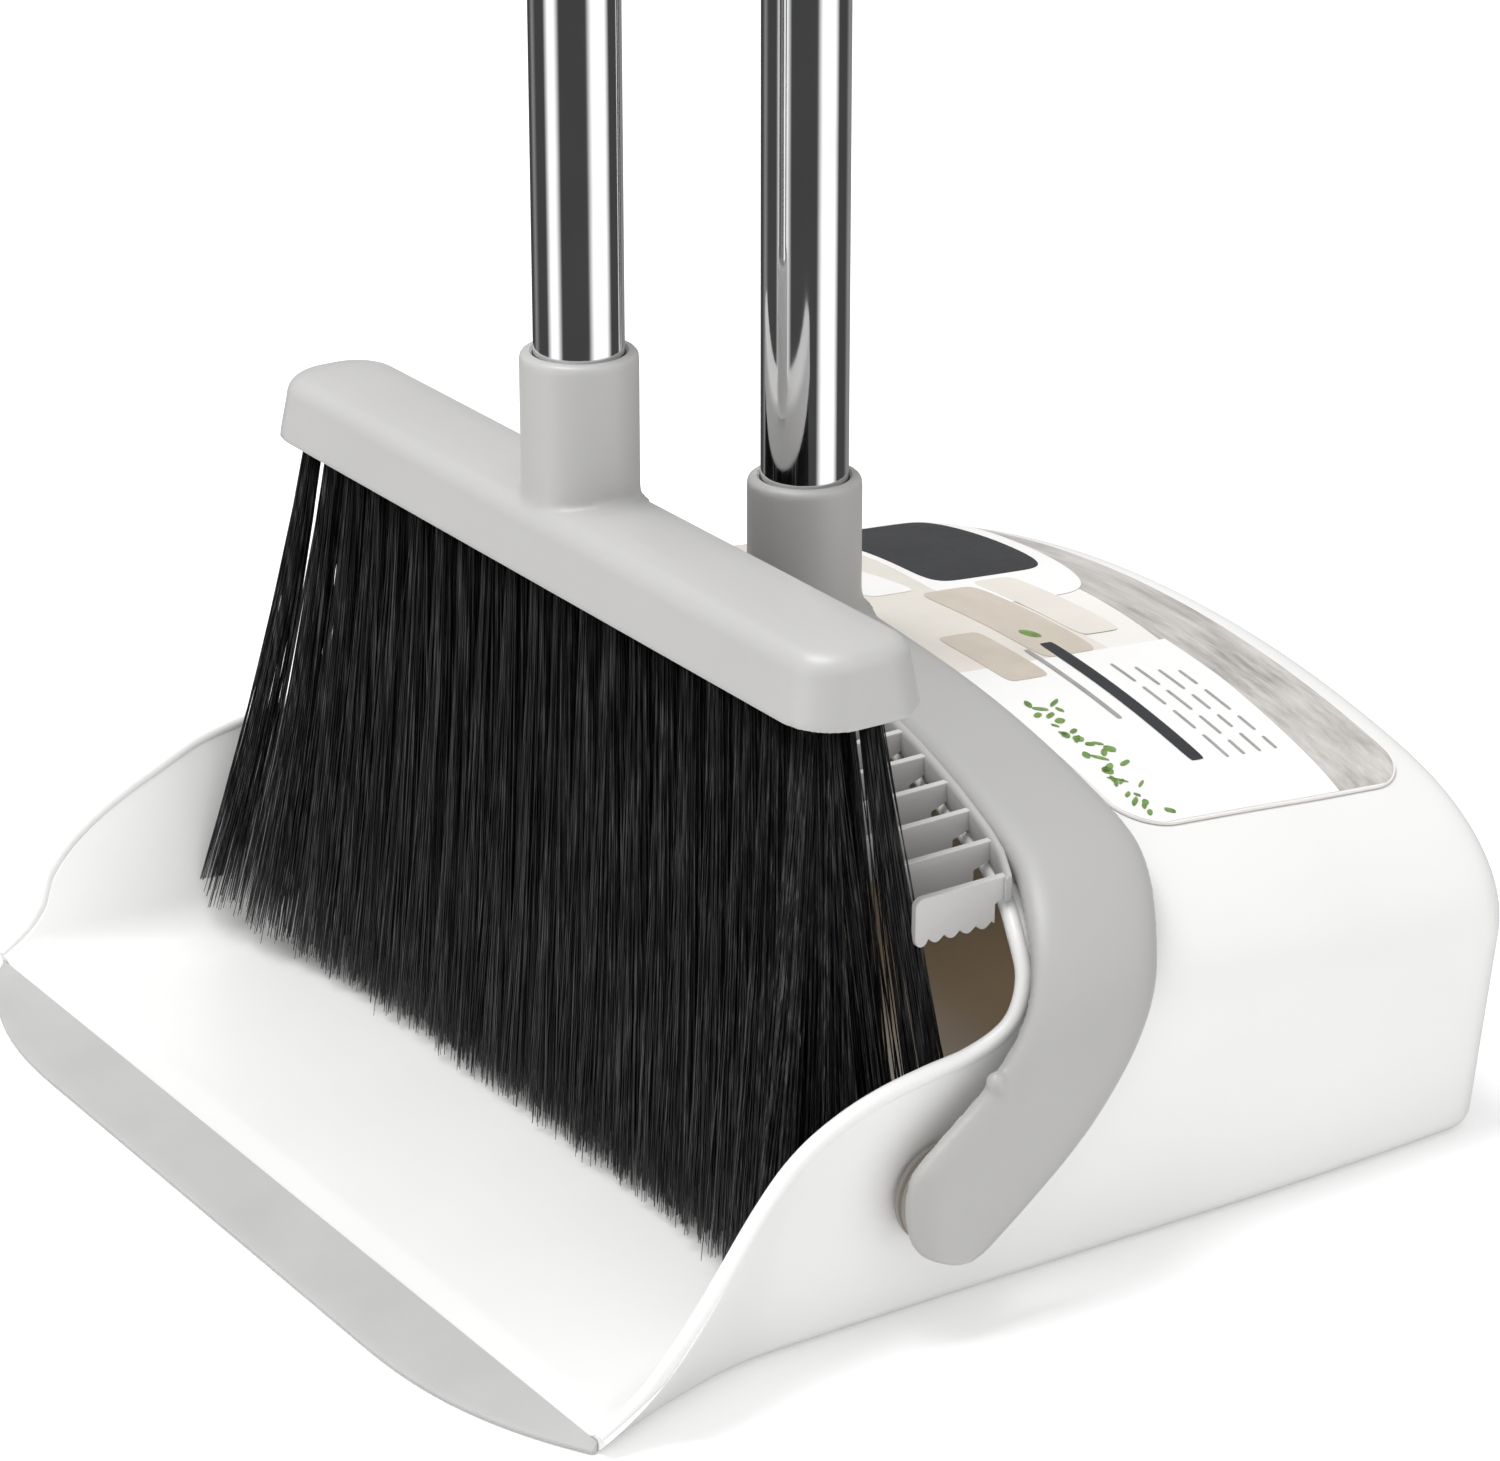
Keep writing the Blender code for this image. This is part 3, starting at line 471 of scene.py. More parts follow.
def rim_cut(y):
    """How much of the outer face is left off below the crest at y."""
    points, _ = outline(y, 0.0, OUTER_FILLET, 0.0)
    height = between(RIM_FINE, y)
    if height >= points[-1][1]:
        return 0.0
    reach = np.concatenate([[0.0], np.cumsum(np.hypot(*np.diff(points, axis=0).T))])
    keep = float(np.interp(height, points[:, 1], reach))
    return float(reach[-1]) - keep


def pan_rows():
    """The y of every section: close together where the hood's mouth closes."""
    rows = [y for y, z in RIM_FINE if PAN_FRONT < y < 0.0100]
    rows = [PAN_FRONT] + rows
    for drop in (0.0085, 0.0070, 0.0056, 0.0044, 0.0034, 0.0025, 0.0018, 0.0012, 0.0007, 0.0003, 0.0001,
                 -0.0002):
        y = 0.015
        for _ in range(30):
            y = float(np.interp(crest_height(y) - drop, [z for _, z in RIM_FINE], [v for v, _ in RIM_FINE]))
        if y > rows[-1] + 1e-5:
            rows.append(y)
    return rows


def back_shape(rows, outer):
    """Extra sections that round the hood off into its back wall: (y, how far they shrink)."""
    rounding = 0.010 if outer else 0.010 - WALL
    back = PAN_BACK - (0.0 if outer else WALL)
    rear = list(np.linspace(rows[-1], back - rounding, 30)[1:])
    turns = [(back - rounding + rounding * math.sin(a), rounding * (1 - math.cos(a)))
             for a in np.linspace(0, math.pi / 2, 9)[1:]]
    return [(y, 0.0) for y in rear] + turns


def build_pan():
    bm = bmesh.new()
    rows = pan_rows()
    cuts = [rim_cut(y) for y in rows]
    cuts[-1] = 0.0
    grids, rim_line = {}, []
    for outer in (True, False):
        grid = []
        for y, shrink in [(y, 0.0) for y in rows] + back_shape(rows, outer):
            cut = cuts[rows.index(y)] if y in rows else 0.0
            if cut and not outer:
                length_out = section(y, True, 0.0)[2]
                length_in = section(y, False, 0.0)[2]
                cut = cut * length_in / length_out if cut < length_out else cut - length_out + length_in
            xs, zs, _ = section(y, outer, cut)
            floor = zs[0]
            width, height = base_half_width(y), crest_height(y)
            xs = xs * (1 - shrink / width)
            zs = floor + shrink * 0.45 + (zs - floor) * (1 - 1.45 * shrink / height)
            lean = 0.004 * zs / height * min(1.0, max(0.0, (y - 0.02) / 0.06))
            whole = [bm.verts.new((x, y + d, z)) for x, z, d in zip(xs[::-1], zs[::-1], lean[::-1])]
            whole += [bm.verts.new((-x, y + d, z)) for x, z, d in zip(xs[1:], zs[1:], lean[1:])]
            grid.append(whole)
        grids[outer] = grid
        for low, high in zip(grid, grid[1:]):
            for i in range(len(low) - 1):
                bm.faces.new((low[i], low[i + 1], high[i + 1], high[i]))
        bm.faces.new(grid[-1])
    out, inn = grids[True], grids[False]
    for i in range(len(rows) - 1):
        for k in (0, -1):
            bm.faces.new((out[i][k], out[i + 1][k], inn[i + 1][k], inn[i][k]))
        rim_line.append((out[i][0].co + inn[i][0].co) / 2)
    rim_line.append((out[len(rows) - 1][0].co + inn[len(rows) - 1][0].co) / 2)
    for i in range(len(out[0]) - 1):
        bm.faces.new((out[0][i], out[0][i + 1], inn[0][i + 1], inn[0][i]))
    add_bead(bm, rim_line)
    mesh = mesh_of(bm, "pan_shell_fine", 2e-6)
    link("pan_shell_fine", mesh, WHITE, "pan", ["pan_shell"], 35)


def add_bead(bm, right_side):
    """A rolled edge along the rim and round the hood's mouth."""
    line = right_side + [Vector((-p.x, p.y, p.z)) for p in right_side[-2::-1]]
    line = [p for i, p in enumerate(line) if i == 0 or (p - line[i - 1]).length > 0.0004]
    loops = []
    count = len(line)
    for i, point in enumerate(line):
        way = (line[min(i + 1, count - 1)] - line[max(i - 1, 0)]).normalized()
        side = way.cross(Vector((0, 0, 1)) if abs(way.z) < 0.9 else Vector((0, 1, 0))).normalized()
        up = side.cross(way).normalized()
        taper = min(1.0, 0.45 + 0.55 * min(i, count - 1 - i) / 12)
        radius = 0.0021 * taper
        loops.append([point + radius * (math.cos(a) * side + math.sin(a) * up)
                      for a in (2 * math.pi * s / 14 for s in range(14))])
    for i in range(1, count):
        loops[i] = align(loops[i - 1], loops[i])
    loft(bm, loops)


def align(before, loop):
    """The loop turned so that its points continue those before it."""
    best = min(range(len(loop)), key=lambda k: sum((before[i] - loop[(i + k) % len(loop)]).length
                                                  for i in (0, 5, 9)))
    return loop[best:] + loop[:best]


def build_lip():
    """The soft front lip: a wedge with a rounded nose and a slight dish on top."""
    back = PAN_FRONT - 0.0003
    bm = bmesh.new()
    loops = []
    for i in range(141):
        x = LIP_HALF * math.sin(math.pi / 2 * (i / 70 - 1))
        drawn = LIP_DRAW * max(0.0, (abs(x) - LIP_STRAIGHT) / (LIP_HALF - LIP_STRAIGHT))**2.4
        front = back - LIP_LENGTH + drawn
        length = back - front
        nose = min(0.0006, length * 0.3)
        loop = [(x, back, 0.0)]
        for s in range(7):
            t = s / 6
            y = back - (length - nose) * t
            z = LIP_BACK_THICK + (2 * nose - LIP_BACK_THICK) * t - 0.0002 * math.sin(math.pi * t)
            loop.append((x, y, max(z, 2 * nose * 0.98)))
        loop += [(x, front + nose * (1 - math.sin(a)), nose + nose * math.cos(a))
                 for a in (math.pi * s / 6 for s in range(1, 6))]
        loop.append((x, front + nose, 0.0))
        loops.append(loop)
    loft(bm, loops)
    link("lip_strip_fine", mesh_of(bm, "lip_strip_fine"), LIP, "pan", ["lip_strip"], 50)


# ---- The label and its print -----------------------------------------------------------------

LABEL_X, LABEL_Y0, LABEL_Y1, LABEL_CORNER = 0.1120, 0.0460, 0.1310, 0.0120


def on_hood(x, y, lift):
    points, _ = outline(y, 0.0, OUTER_FILLET, 0.0)
    z = float(np.interp(-abs(x), -points[25:, 0], points[25:, 1]))
    return (x, y + 0.004 * z / crest_height(y) * min(1.0, max(0.0, (y - 0.02) / 0.06)), z + lift)


PATCH_STEP, PATCH_ROW = 0.0015, 0.0040


def film(name, x0, x1, edges, lift, thick):
    """A patch that follows the hood closely. edges(x) gives its lowest and highest y."""
    bm = bmesh.new()
    loops = []
    steps = max(10, math.ceil((x1 - x0) / PATCH_STEP))
    tallest = max(edges(x)[1] - edges(x)[0] for x in np.linspace(x0, x1, 24))
    rows = max(2, math.ceil(tallest / PATCH_ROW))
    for i in range(steps + 1):
        x = (x0 + x1) / 2 + (x1 - x0) / 2 * math.sin(math.pi / 2 * (2 * i / steps - 1))
        low, high = edges(x)
        high = max(high, low + 1e-5)
        ys = [low + (high - low) * k / rows for k in range(rows + 1)]
        under = [on_hood(x, y, lift) for y in reversed(ys)]
        loops.append(under + [on_hood(x, y, lift + thick) for y in ys])
    loft(bm, loops)
    return mesh_of(bm, name)


def label_edges(x):
    corner = max(0.0, abs(x) - (LABEL_X - LABEL_CORNER)) / LABEL_CORNER
    cut = LABEL_CORNER * (1 - math.sqrt(max(0.0, 1 - corner**2)))
    return LABEL_Y0 + cut, LABEL_Y1 - cut


def rounded(cx, cy, half_x, half_y, power=4.0, tilt=0.0):
    """Edges of a soft-cornered block."""
    def edges(x):
        t = min(1.0, abs(x - cx) / half_x)
        h = half_y * (1 - t**power)**(1 / power)
        mid = cy + tilt * (x - cx)
        return mid - h, mid + h
    return cx - half_x, cx + half_x, edges


def build_label():
    """The film and a generic print: boards, a plain rug, blocks, bars in place of words, leaf sprigs."""
    base = film("label_film", -LABEL_X, LABEL_X, label_edges, 0.0003, 0.0006)
    link("label_film", base, FILM, "pan", ["label"], 50)
    shapes = []

    def put(material, level, block):
        x0, x1, edges = block
        lo, hi = max(x0, -LABEL_X + 0.0006), min(x1, LABEL_X - 0.0006)

        def kept(x):
            low, high = edges(x)
            a, b = label_edges(x)
            low, high = max(low, a + 0.0006), min(high, b - 0.0006)
            return (low, high) if high > low else ((low + high) / 2, (low + high) / 2)
        shapes.append((film("patch", lo, hi, kept, 0.00093 + 0.00006 * level, 0.00003), material))

    put(BOARDS, 0, (-LABEL_X, LABEL_X, lambda x: (0.112 - (x + 0.02)**2, 0.140)))
    put(PAPER, 1, (0.036, LABEL_X, lambda x: (0.044, 0.1105 - 0.06 * max(0.0, x - 0.06))))
    put(CREAM, 1, (-LABEL_X, 0.036, lambda x: (0.044, 0.085 + 0.10 * (x + 0.04))))
    put(PAPER, 2, rounded(-0.054, 0.1040, 0.0540, 0.0225, 5.0, -0.17))
    put(CHARCOAL, 3, rounded(-0.062, 0.1045, 0.0400, 0.0190, 7.0, -0.17))
    for ink, *block in ((SAND, 0.010, 0.0800, 0.0260, 0.0085), (CREAM, 0.004, 0.0960, 0.0230, 0.0065),
                        (PAPER, -0.042, 0.0640, 0.0230, 0.0070), (SAND, 0.030, 0.0620, 0.0150, 0.0060)):
        put(ink, 3, rounded(*block, 8.0, 0.05))
    put(INK, 4, rounded(0.060, 0.0785, 0.0320, 0.0020, 12.0))
    put(TEXT_GREY, 4, rounded(0.050, 0.0715, 0.0200, 0.0007, 12.0))
    put(LEAF, 4, rounded(0.0215, 0.0785, 0.0030, 0.0018, 2.0, 0.3))
    for row in range(4):
        start = 0.093
        for _ in range(4):
            length = rng.uniform(0.005, 0.011)
            put(TEXT_GREY, 4, rounded(start - length / 2, 0.0870 + 0.0050 * row, length / 2, 0.00045, 8.0))
            start -= length + 0.0030
    for i in range(34):
        cx = 0.058 + 0.050 * (i % 17) / 16 + rng.uniform(-0.002, 0.002)
        cy = 0.0525 + 0.0090 * rng.random() * (1 if i % 2 else 0.5)
        put(LEAF, 4, rounded(cx, cy, rng.uniform(0.0009, 0.0019), rng.uniform(0.0006, 0.0015), 1.6,
                             rng.uniform(-1.2, 1.2)))
    whole = bmesh.new()
    mats = []
    for mesh, material in shapes:
        if material not in mats:
            mats.append(material)
        start = len(whole.faces)
        whole.from_mesh(mesh)
        whole.faces.ensure_lookup_table()
        for face in whole.faces[start:]:
            face.material_index = mats.index(material)
        bpy.data.meshes.remove(mesh)
    mesh = bpy.data.meshes.new("label_print")
    whole.to_mesh(mesh)
    whole.free()
    for material in mats:
        mesh.materials.append(material)
    link("label_print", mesh, None, "pan", (), 50)


# ---- The yoke and its comb -------------------------------------------------------------------

YOKE_CORNER = corner_curve((YOKE_X, 0.068), (0.0, 1.0), (0.118, YOKE_CREST - 0.118**2 / (2 * YOKE_R)),
                           (-1.0, 0.118 / YOKE_R), 40)


def yoke_height(x):
    if abs(x) <= 0.118:
        return YOKE_CREST - x**2 / (2 * YOKE_R)
    return float(np.interp(abs(x), [p[0] for p in YOKE_CORNER[::-1]], [p[1] for p in YOKE_CORNER[::-1]]))


def yoke_front(x):
    return between([(p[0], p[1]) for p in reversed(ARCH_EDGES)], abs(x))


def eased(before, here, after):
    """A station of the band moved towards its neighbours, above the arm's round end."""
    if here[0][1] < 0.045:
        return here
    mixed = [tuple((a + 2 * b + c) / 4 for a, b, c in zip(before[k], here[k], after[k])) for k in (0, 1)]
    return (*mixed, (before[2] + 2 * here[2] + after[2]) / 4, (before[3] + 2 * here[3] + after[3]) / 4)


def yoke_band(bm):
    """The arch and arms with a crowned outer face and soft edges."""
    half = []
    lobe = [(0.0194, -0.0322, -0.0285), (0.0197, -0.0343, -0.0258), (0.0205, -0.0368, -0.0230)]
    elbow = [(z, front, rear + 0.0014 * math.exp(-((z - 0.063) / 0.012)**2))
             for z, front, rear in ARM_EDGES[1:]]
    for z, front, rear in smooth_path(lobe + elbow, 6)[:-1]:
        half.append(((YOKE_X, z), (-1.0, 0.0), front, rear))
    for x, front, rear in smooth_path([(YOKE_X, -0.0147, elbow[-1][2])] + ARCH_EDGES, 4)[1:]:
        z = yoke_height(x)
        rise = yoke_height(x - 0.0008) - yoke_height(x + 0.0008)
        length = math.hypot(0.0016, rise)
        half.append(((x, z), (-rise / length, -0.0016 / length), front, rear))
    half.append(((0.0, YOKE_CREST), (0.0, -1.0), 0.0142, 0.0425))
    for _ in range(14):
        half = [half[0]] + [eased(*near) for near in zip(half, half[1:], half[2:])] + [half[-1]]
    loops = []
    for (x, z), (nx, nz), front, rear in half:
        middle, reach = (front + rear) / 2, (rear - front) / 2
        loop = []
        for s in range(17):
            u = math.sin(math.pi / 2 * (s / 8 - 1))
            depth = 0.0013 * u * u + 0.0026 * abs(u)**7
            loop.append((x + nx * depth, middle + reach * u, z + nz * depth))
        for s in range(5):
            u = 1 - s / 2
            loop.append((x + nx * YOKE_T, middle + reach * u * 0.985, z + nz * YOKE_T))
        loops.append(loop)
    loops += [[(-x, y, z) for x, y, z in loop] for loop in loops[-2::-1]]
    loft(bm, loops)


def socket(bm, low, top, pole_y, flare, front_limit=None):
    profile = [(0.0, low), (SOCKET_R + flare, low)]
    profile += [(SOCKET_R + flare * (1 - math.sin(a)), low + flare * 1.6 * (1 - math.cos(a)))
                for a in (math.pi / 2 * s / 6 for s in range(1, 7))]
    profile += [(SOCKET_R, top - 0.0012), (SOCKET_R - 0.0004, top - 0.0004), (SOCKET_R - 0.0012, top),
                (0.0, top)]
    turned(bm, profile, (0.0, pole_y), 64, front_limit)


def bore(bm, top, pole_y):
    step = top - 0.0230
    turned(bm, [(0.0, step - 0.0096), (0.0094, step - 0.0096), (0.0094, step), (BORE_R, step),
                (BORE_R, top - 0.0006), (BORE_R + 0.0008, top + 0.0002), (BORE_R + 0.0008, top + 0.01),
                (0.0, top + 0.01)], (0.0, pole_y), 64)


def pin_seat(bm):
    loops = []
    for x in (-(YOKE_X - YOKE_T + 0.004), YOKE_X - YOKE_T + 0.004):
        loops.append([(x, PIVOT_Y + PIN_BORE_R * math.cos(a), PIVOT_Z + PIN_BORE_R * math.sin(a))
                      for a in (2 * math.pi * s / 32 for s in range(32))])
    loft(bm, loops)


def arm_tabs(bm):
    """A small stop on the front edge of each arm."""
    for side in (-1, 1):
        bmesh.ops.create_icosphere(bm, subdivisions=3, radius=0.0026, matrix=Matrix.Translation(
            (side * (YOKE_X - 0.0042), -0.0200, 0.0615)))


def build_yoke():
    def foot(bm):
        socket(bm, YOKE_CREST - 0.0030, PAN_SOCKET_TOP, PAN_POLE_Y, 0.0042, 0.0134)

    mesh = remeshed("yoke_fine", [yoke_band, arm_tabs, foot], 0.0009, 5,
                    [lambda bm: bore(bm, PAN_SOCKET_TOP, PAN_POLE_Y), pin_seat])
    link("yoke_fine", mesh, GREY, "handle", ["yoke"], 42)


def tooth_side(x):
    """A tooth's outline as (y, z): round at its tip and scalloped below."""
    root = yoke_front(abs(x) + 0.006) - 0.0014
    top = yoke_height(abs(x) + 0.001) - 0.0024
    low = top - 0.0125
    mouth = between([(z, y) for y, z in RIM[11:]], low)
    behind = min(mouth - 0.0020, root - 0.001)
    tip, r = -0.0255, 0.0024
    line = [(root, top), (root, top - 0.0046), (behind, top - 0.0066), (behind, low + 0.0010)]
    count = max(3, round((behind - 0.0010 - (tip + 0.0036)) / 0.0040))
    pitch = (behind - 0.0010 - (tip + 0.0036)) / count
    for i in range(count * 6 + 1):
        y = behind - 0.0010 - pitch * i / 6
        line.append((y, low + 0.0017 - 0.0014 * abs(math.sin(math.pi * i / 6))))
    line += [(tip + 0.0018 + 0.0018 * math.cos(a), low + 0.0020 - 0.0020 * math.sin(a))
             for a in (math.pi / 2 * s / 4 for s in range(1, 5))]
    line += [(tip + 0.0018 - 0.0018 * math.sin(a), low + 0.0020 - 0.0020 * math.cos(a))
             for a in (math.pi / 2 * s / 4 for s in range(1, 5))]
    line += [(tip + r * (1 - math.cos(a)), top - 0.0004 - r * (1 - math.sin(a)))
             for a in (math.pi / 2 * s / 5 for s in range(1, 6))]
    line += [(tip + r + (root - tip - r) * s / 6, top - 0.0004 * (1 - s / 6)) for s in range(1, 6)]
    return line


def build_boss(side, name):
    """The round boss between the side wall and the arm, with a shallow groove round it; its beige is darkened
    as painted shade.
    """
    start = base_half_width(PIVOT_Y) + side_slope(PIVOT_Y) * (PIVOT_Z + BOSS_R) + BOSS_WALL_GAP
    end = YOKE_X - YOKE_T - BOSS_ARM_GAP
    middle = (start + end) / 2
    low, waist = BOSS_R - 0.0006, BOSS_R - BOSS_GROOVE
    profile = [(PIN_BORE_R, start), (low, start), (BOSS_R, start + 0.0006), (BOSS_R, middle - 0.0007),
               (waist, middle - 0.0003), (waist, middle + 0.0003), (BOSS_R, middle + 0.0007),
               (BOSS_R, end - 0.0006), (low, end), (PIN_BORE_R, end)]
    loops = []
    for step in range(64):
        a = 2 * math.pi * step / 64
        loops.append([(side * x, PIVOT_Y + r * math.cos(a), PIVOT_Z + r * math.sin(a)) for r, x in profile])
    bm = bmesh.new()
    loft(bm, loops, ring=True)
    link(f"pivot_boss_{name}", mesh_of(bm, name), BEIGE_WITH_PAINTED_SHADE, "pan", [f"pivot_bush_{name}"], 30)


def build_comb():
    bm = bmesh.new()
    for i in range(23):
        x = 0.250 / 22 * (i - 11)
        side = tooth_side(x)
        loft(bm, [[(x + shift, y, z) for y, z in side] for shift in (-0.001, 0.001)])
    loops = []
    for i in range(97):
        x = 0.127 * (i / 48 - 1)
        rear = yoke_front(abs(x) + 0.006) - 0.0004
        top = yoke_height(x) - 0.0018
        front = rear - 0.0020
        loops.append([(x, front, top - 0.0064), (x, front, top - 0.0014),
                      (x, front + 0.0005, top - 0.0005), (x, front + 0.0014, top), (x, rear, top),
                      (x, rear, top - 0.0064)])
    teeth = len(bm.faces)
    loft(bm, loops)
    bm.faces.ensure_lookup_table()
    for face in bm.faces[teeth:]:
        face.material_index = 1
    mesh = mesh_of(bm, "comb_fine", 1e-7)
    piece = link("comb_fine", mesh, TOOTH_GREY, "handle", ["comb"], 40)
    mesh.materials.append(GREY)
    soften = piece.modifiers.new("soften", "BEVEL")
    soften.width = 0.00028
    soften.segments = 2
    soften.angle_limit = math.radians(50)
    soften.harden_normals = False


# ---- Poles -----------------------------------------------------------------------------------


def read_box(node):
    low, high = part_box(node)
    return low.z, high.z


def build_tube(node, pole_y, body):
    low, high = read_box(node)
    bm = bmesh.new()
    turned(bm, [(0.0104, low), (0.0108, low), (TUBE_R, low + 0.0002), (TUBE_R, high - 0.0002), (0.0108, high),
                (0.0104, high)], (0.0, pole_y), 96)
    link(f"{node}_fine", mesh_of(bm, node), STEEL, body, [node], 30)


def build_connector(node, pole_y, body):
    low, high = read_box(node)
    middle = (low + high) / 2
    bm = bmesh.new()
    half = [(0.0108, 0.0), (TUBE_R, 0.0003), (TUBE_R, 0.0012), (0.0107, 0.0015), (0.0101, 0.0015)]
    collar = [(r, middle - rise) for r, rise in half[:0:-1]] + [(r, middle + rise) for r, rise in half]
    turned(bm, [(0.0, low), (0.0101, low), *collar, (0.0101, high), (0.0, high)], (0.0, pole_y), 64)
    link(f"{node}_fine", mesh_of(bm, node), GREY, body, [node], 30)


def build_grip(node, pole_y, body):
    """A sleeve with shallow rings, a domed end and a hanging hole with a soft edge."""
    low, top = read_box(node)
    length = top - low
    outer = [(0.0114, low), (0.0126, low), (0.0134, low + 0.0006), (0.0137, low + 0.0018)]
    for i in range(121):
        t = i / 120
        z = low + 0.004 + (length - 0.032) * t
        ring = 0.00045 * max(0.0, math.sin(2 * math.pi * t * 9))**3 if 0.08 < t < 0.92 else 0.0
        outer.append((0.0137 - 0.0006 * math.sin(math.pi * t) - ring, z))
    outer += [(0.0137, top - 0.0130)]
    outer += [(0.0137 * math.cos(a)**0.75 if a < 1.5 else 0.0, top - 0.0130 + 0.0130 * math.sin(a))
              for a in (math.pi / 2 * s / 14 for s in range(1, 15))]
    profile = outer + [(0.0, top - 0.0230), (0.0114, top - 0.0230)]

    def hole(bm):
        loops = []
        z = top - 0.0125
        for x, r in ((-0.03, 0.0064), (-0.0135, 0.0062), (-0.0115, 0.0049), (-0.009, 0.0047), (0.009, 0.0047),
                     (0.0115, 0.0049), (0.0135, 0.0062), (0.03, 0.0064)):
            loops.append([(x, pole_y + r * math.cos(a), z + r * math.sin(a))
                          for a in (2 * math.pi * s / 32 for s in range(32))])
        loft(bm, loops)

    bm = bmesh.new()
    turned(bm, profile, (0.0, pole_y), 64)
    body_mesh = helper(f"{node}_solid", bm)
    cutter = bmesh.new()
    hole(cutter)
    tool = helper(f"{node}_hole", cutter)
    boolean = body_mesh.modifiers.new("hole", "BOOLEAN")
    boolean.operation = "DIFFERENCE"
    boolean.solver = "EXACT"
    boolean.object = tool
    bpy.context.view_layer.update()
    mesh = bpy.data.meshes.new_from_object(body_mesh.evaluated_get(bpy.context.evaluated_depsgraph_get()))
    for made in (body_mesh, tool):
        bpy.data.objects.remove(made, do_unlink=True)
    link(f"{node}_fine", mesh, GREY, body, [node], 35)


# ---- The broom -------------------------------------------------------------------------------


HEAD_CORNER, CORNER_STEPS = 0.0130, 10


def head_loop(z, inset):
    corner = max(HEAD_CORNER - inset * 0.6, 0.004)
    loop = []
    for turn, (sx, sy) in enumerate(((1, 1), (-1, 1), (-1, -1), (1, -1))):
        for step in range(CORNER_STEPS + 1):
            angle = math.pi / 2 * (turn + step / CORNER_STEPS)
            loop.append((sx * (HEAD_X - inset - corner) + corner * math.cos(angle),
                         HEAD_Y + sy * (HEAD_W - inset - corner) + corner * math.sin(angle), z))
    return loop


def head_cover(bm):
    loops = [head_loop(HEAD_BOTTOM, 0.0002), head_loop(HEAD_BOTTOM + 0.0006, 0.0)]
    r, draft = 0.0056, 0.0020
    rise = HEAD_TOP - 0.0008 - r - HEAD_BOTTOM
    loops += [head_loop(HEAD_BOTTOM + 0.0006 + (rise - 0.0006) * s / 4, draft * s / 4) for s in range(1, 5)]
    for s in range(1, 11):
        a = math.radians(80) * s / 10
        loops.append(head_loop(HEAD_BOTTOM + rise + r * math.sin(a), draft + r * (1 - math.cos(a))))
    loops.append(head_loop(HEAD_TOP - 0.0002, 0.0110))
    loops.append(head_loop(HEAD_TOP, 0.0150))
    loft(bm, loops)


def head_hollow(bm):
    loft(bm, [head_loop(HEAD_BOTTOM - 0.01, 0.0026), head_loop(HEAD_BOTTOM + 0.0115, 0.0026)])


def build_head():
    mesh = remeshed("broom_head_fine", [head_cover, lambda bm: socket(bm, HEAD_TOP - 0.004, BROOM_SOCKET_TOP,
                                                                    BROOM_POLE_Y, 0.0030, -0.0530)],
                    0.0009, 4, [head_hollow, lambda bm: bore(bm, BROOM_SOCKET_TOP, BROOM_POLE_Y)])
    link("broom_head_fine", mesh, HEAD_GREY, "broom", ["broom_head"], 42)


TUFT_PITCH = 0.0114
TUFT_ROWS = [("front", -0.0486, 0.0, "bristle_row_front"), ("middle", -0.0398, 0.5, "bristle_row_middle"),
             ("rear", -0.0312, 0.0, "bristle_row_rear")]
STRANDS_PER_TUFT = 122
ROOT_Z = 0.1462
FLOOR_Z = 0.0034


def strand(verts, faces, root, tip, bow, radius):
    """A thin three-sided fibre from root to tip, bowed to one side and a little crimped."""
    rings = 6
    phase, swing = rng.uniform(0, 6.28), rng.uniform(0.0001, 0.00035)
    start = len(verts)
    for k in range(rings + 1):
        t = k / rings
        spread = 0.72 * t + 0.28 * t * t
        x = root[0] + (tip[0] - root[0]) * spread + bow[0] * math.sin(math.pi * t)
        y = root[1] + (tip[1] - root[1]) * spread + bow[1] * math.sin(math.pi * t)
        z = root[2] + (tip[2] - root[2]) * t
        x += swing * math.sin(phase + 9 * t)
        y += swing * math.cos(phase * 1.7 + 8 * t)
        thin = radius * (1.0 if k < rings else 0.45)
        for j in range(3):
            angle = phase + 2.0944 * j
            verts.append((x + thin * math.cos(angle), y + thin * math.sin(angle), z))
    for k in range(rings):
        for j in range(3):
            a, b = start + 3 * k + j, start + 3 * k + (j + 1) % 3
            faces.append((a, b, b + 3, a + 3))
    faces.append((start, start + 2, start + 1))
    last = start + 3 * rings
    faces.append((last, last + 1, last + 2))


def inner_wall(y, z):
    """Half the room between the pan's side walls at this height."""
    return base_half_width(y) - WALL + side_slope(y) * max(0.0, z - WALL) - 0.0012


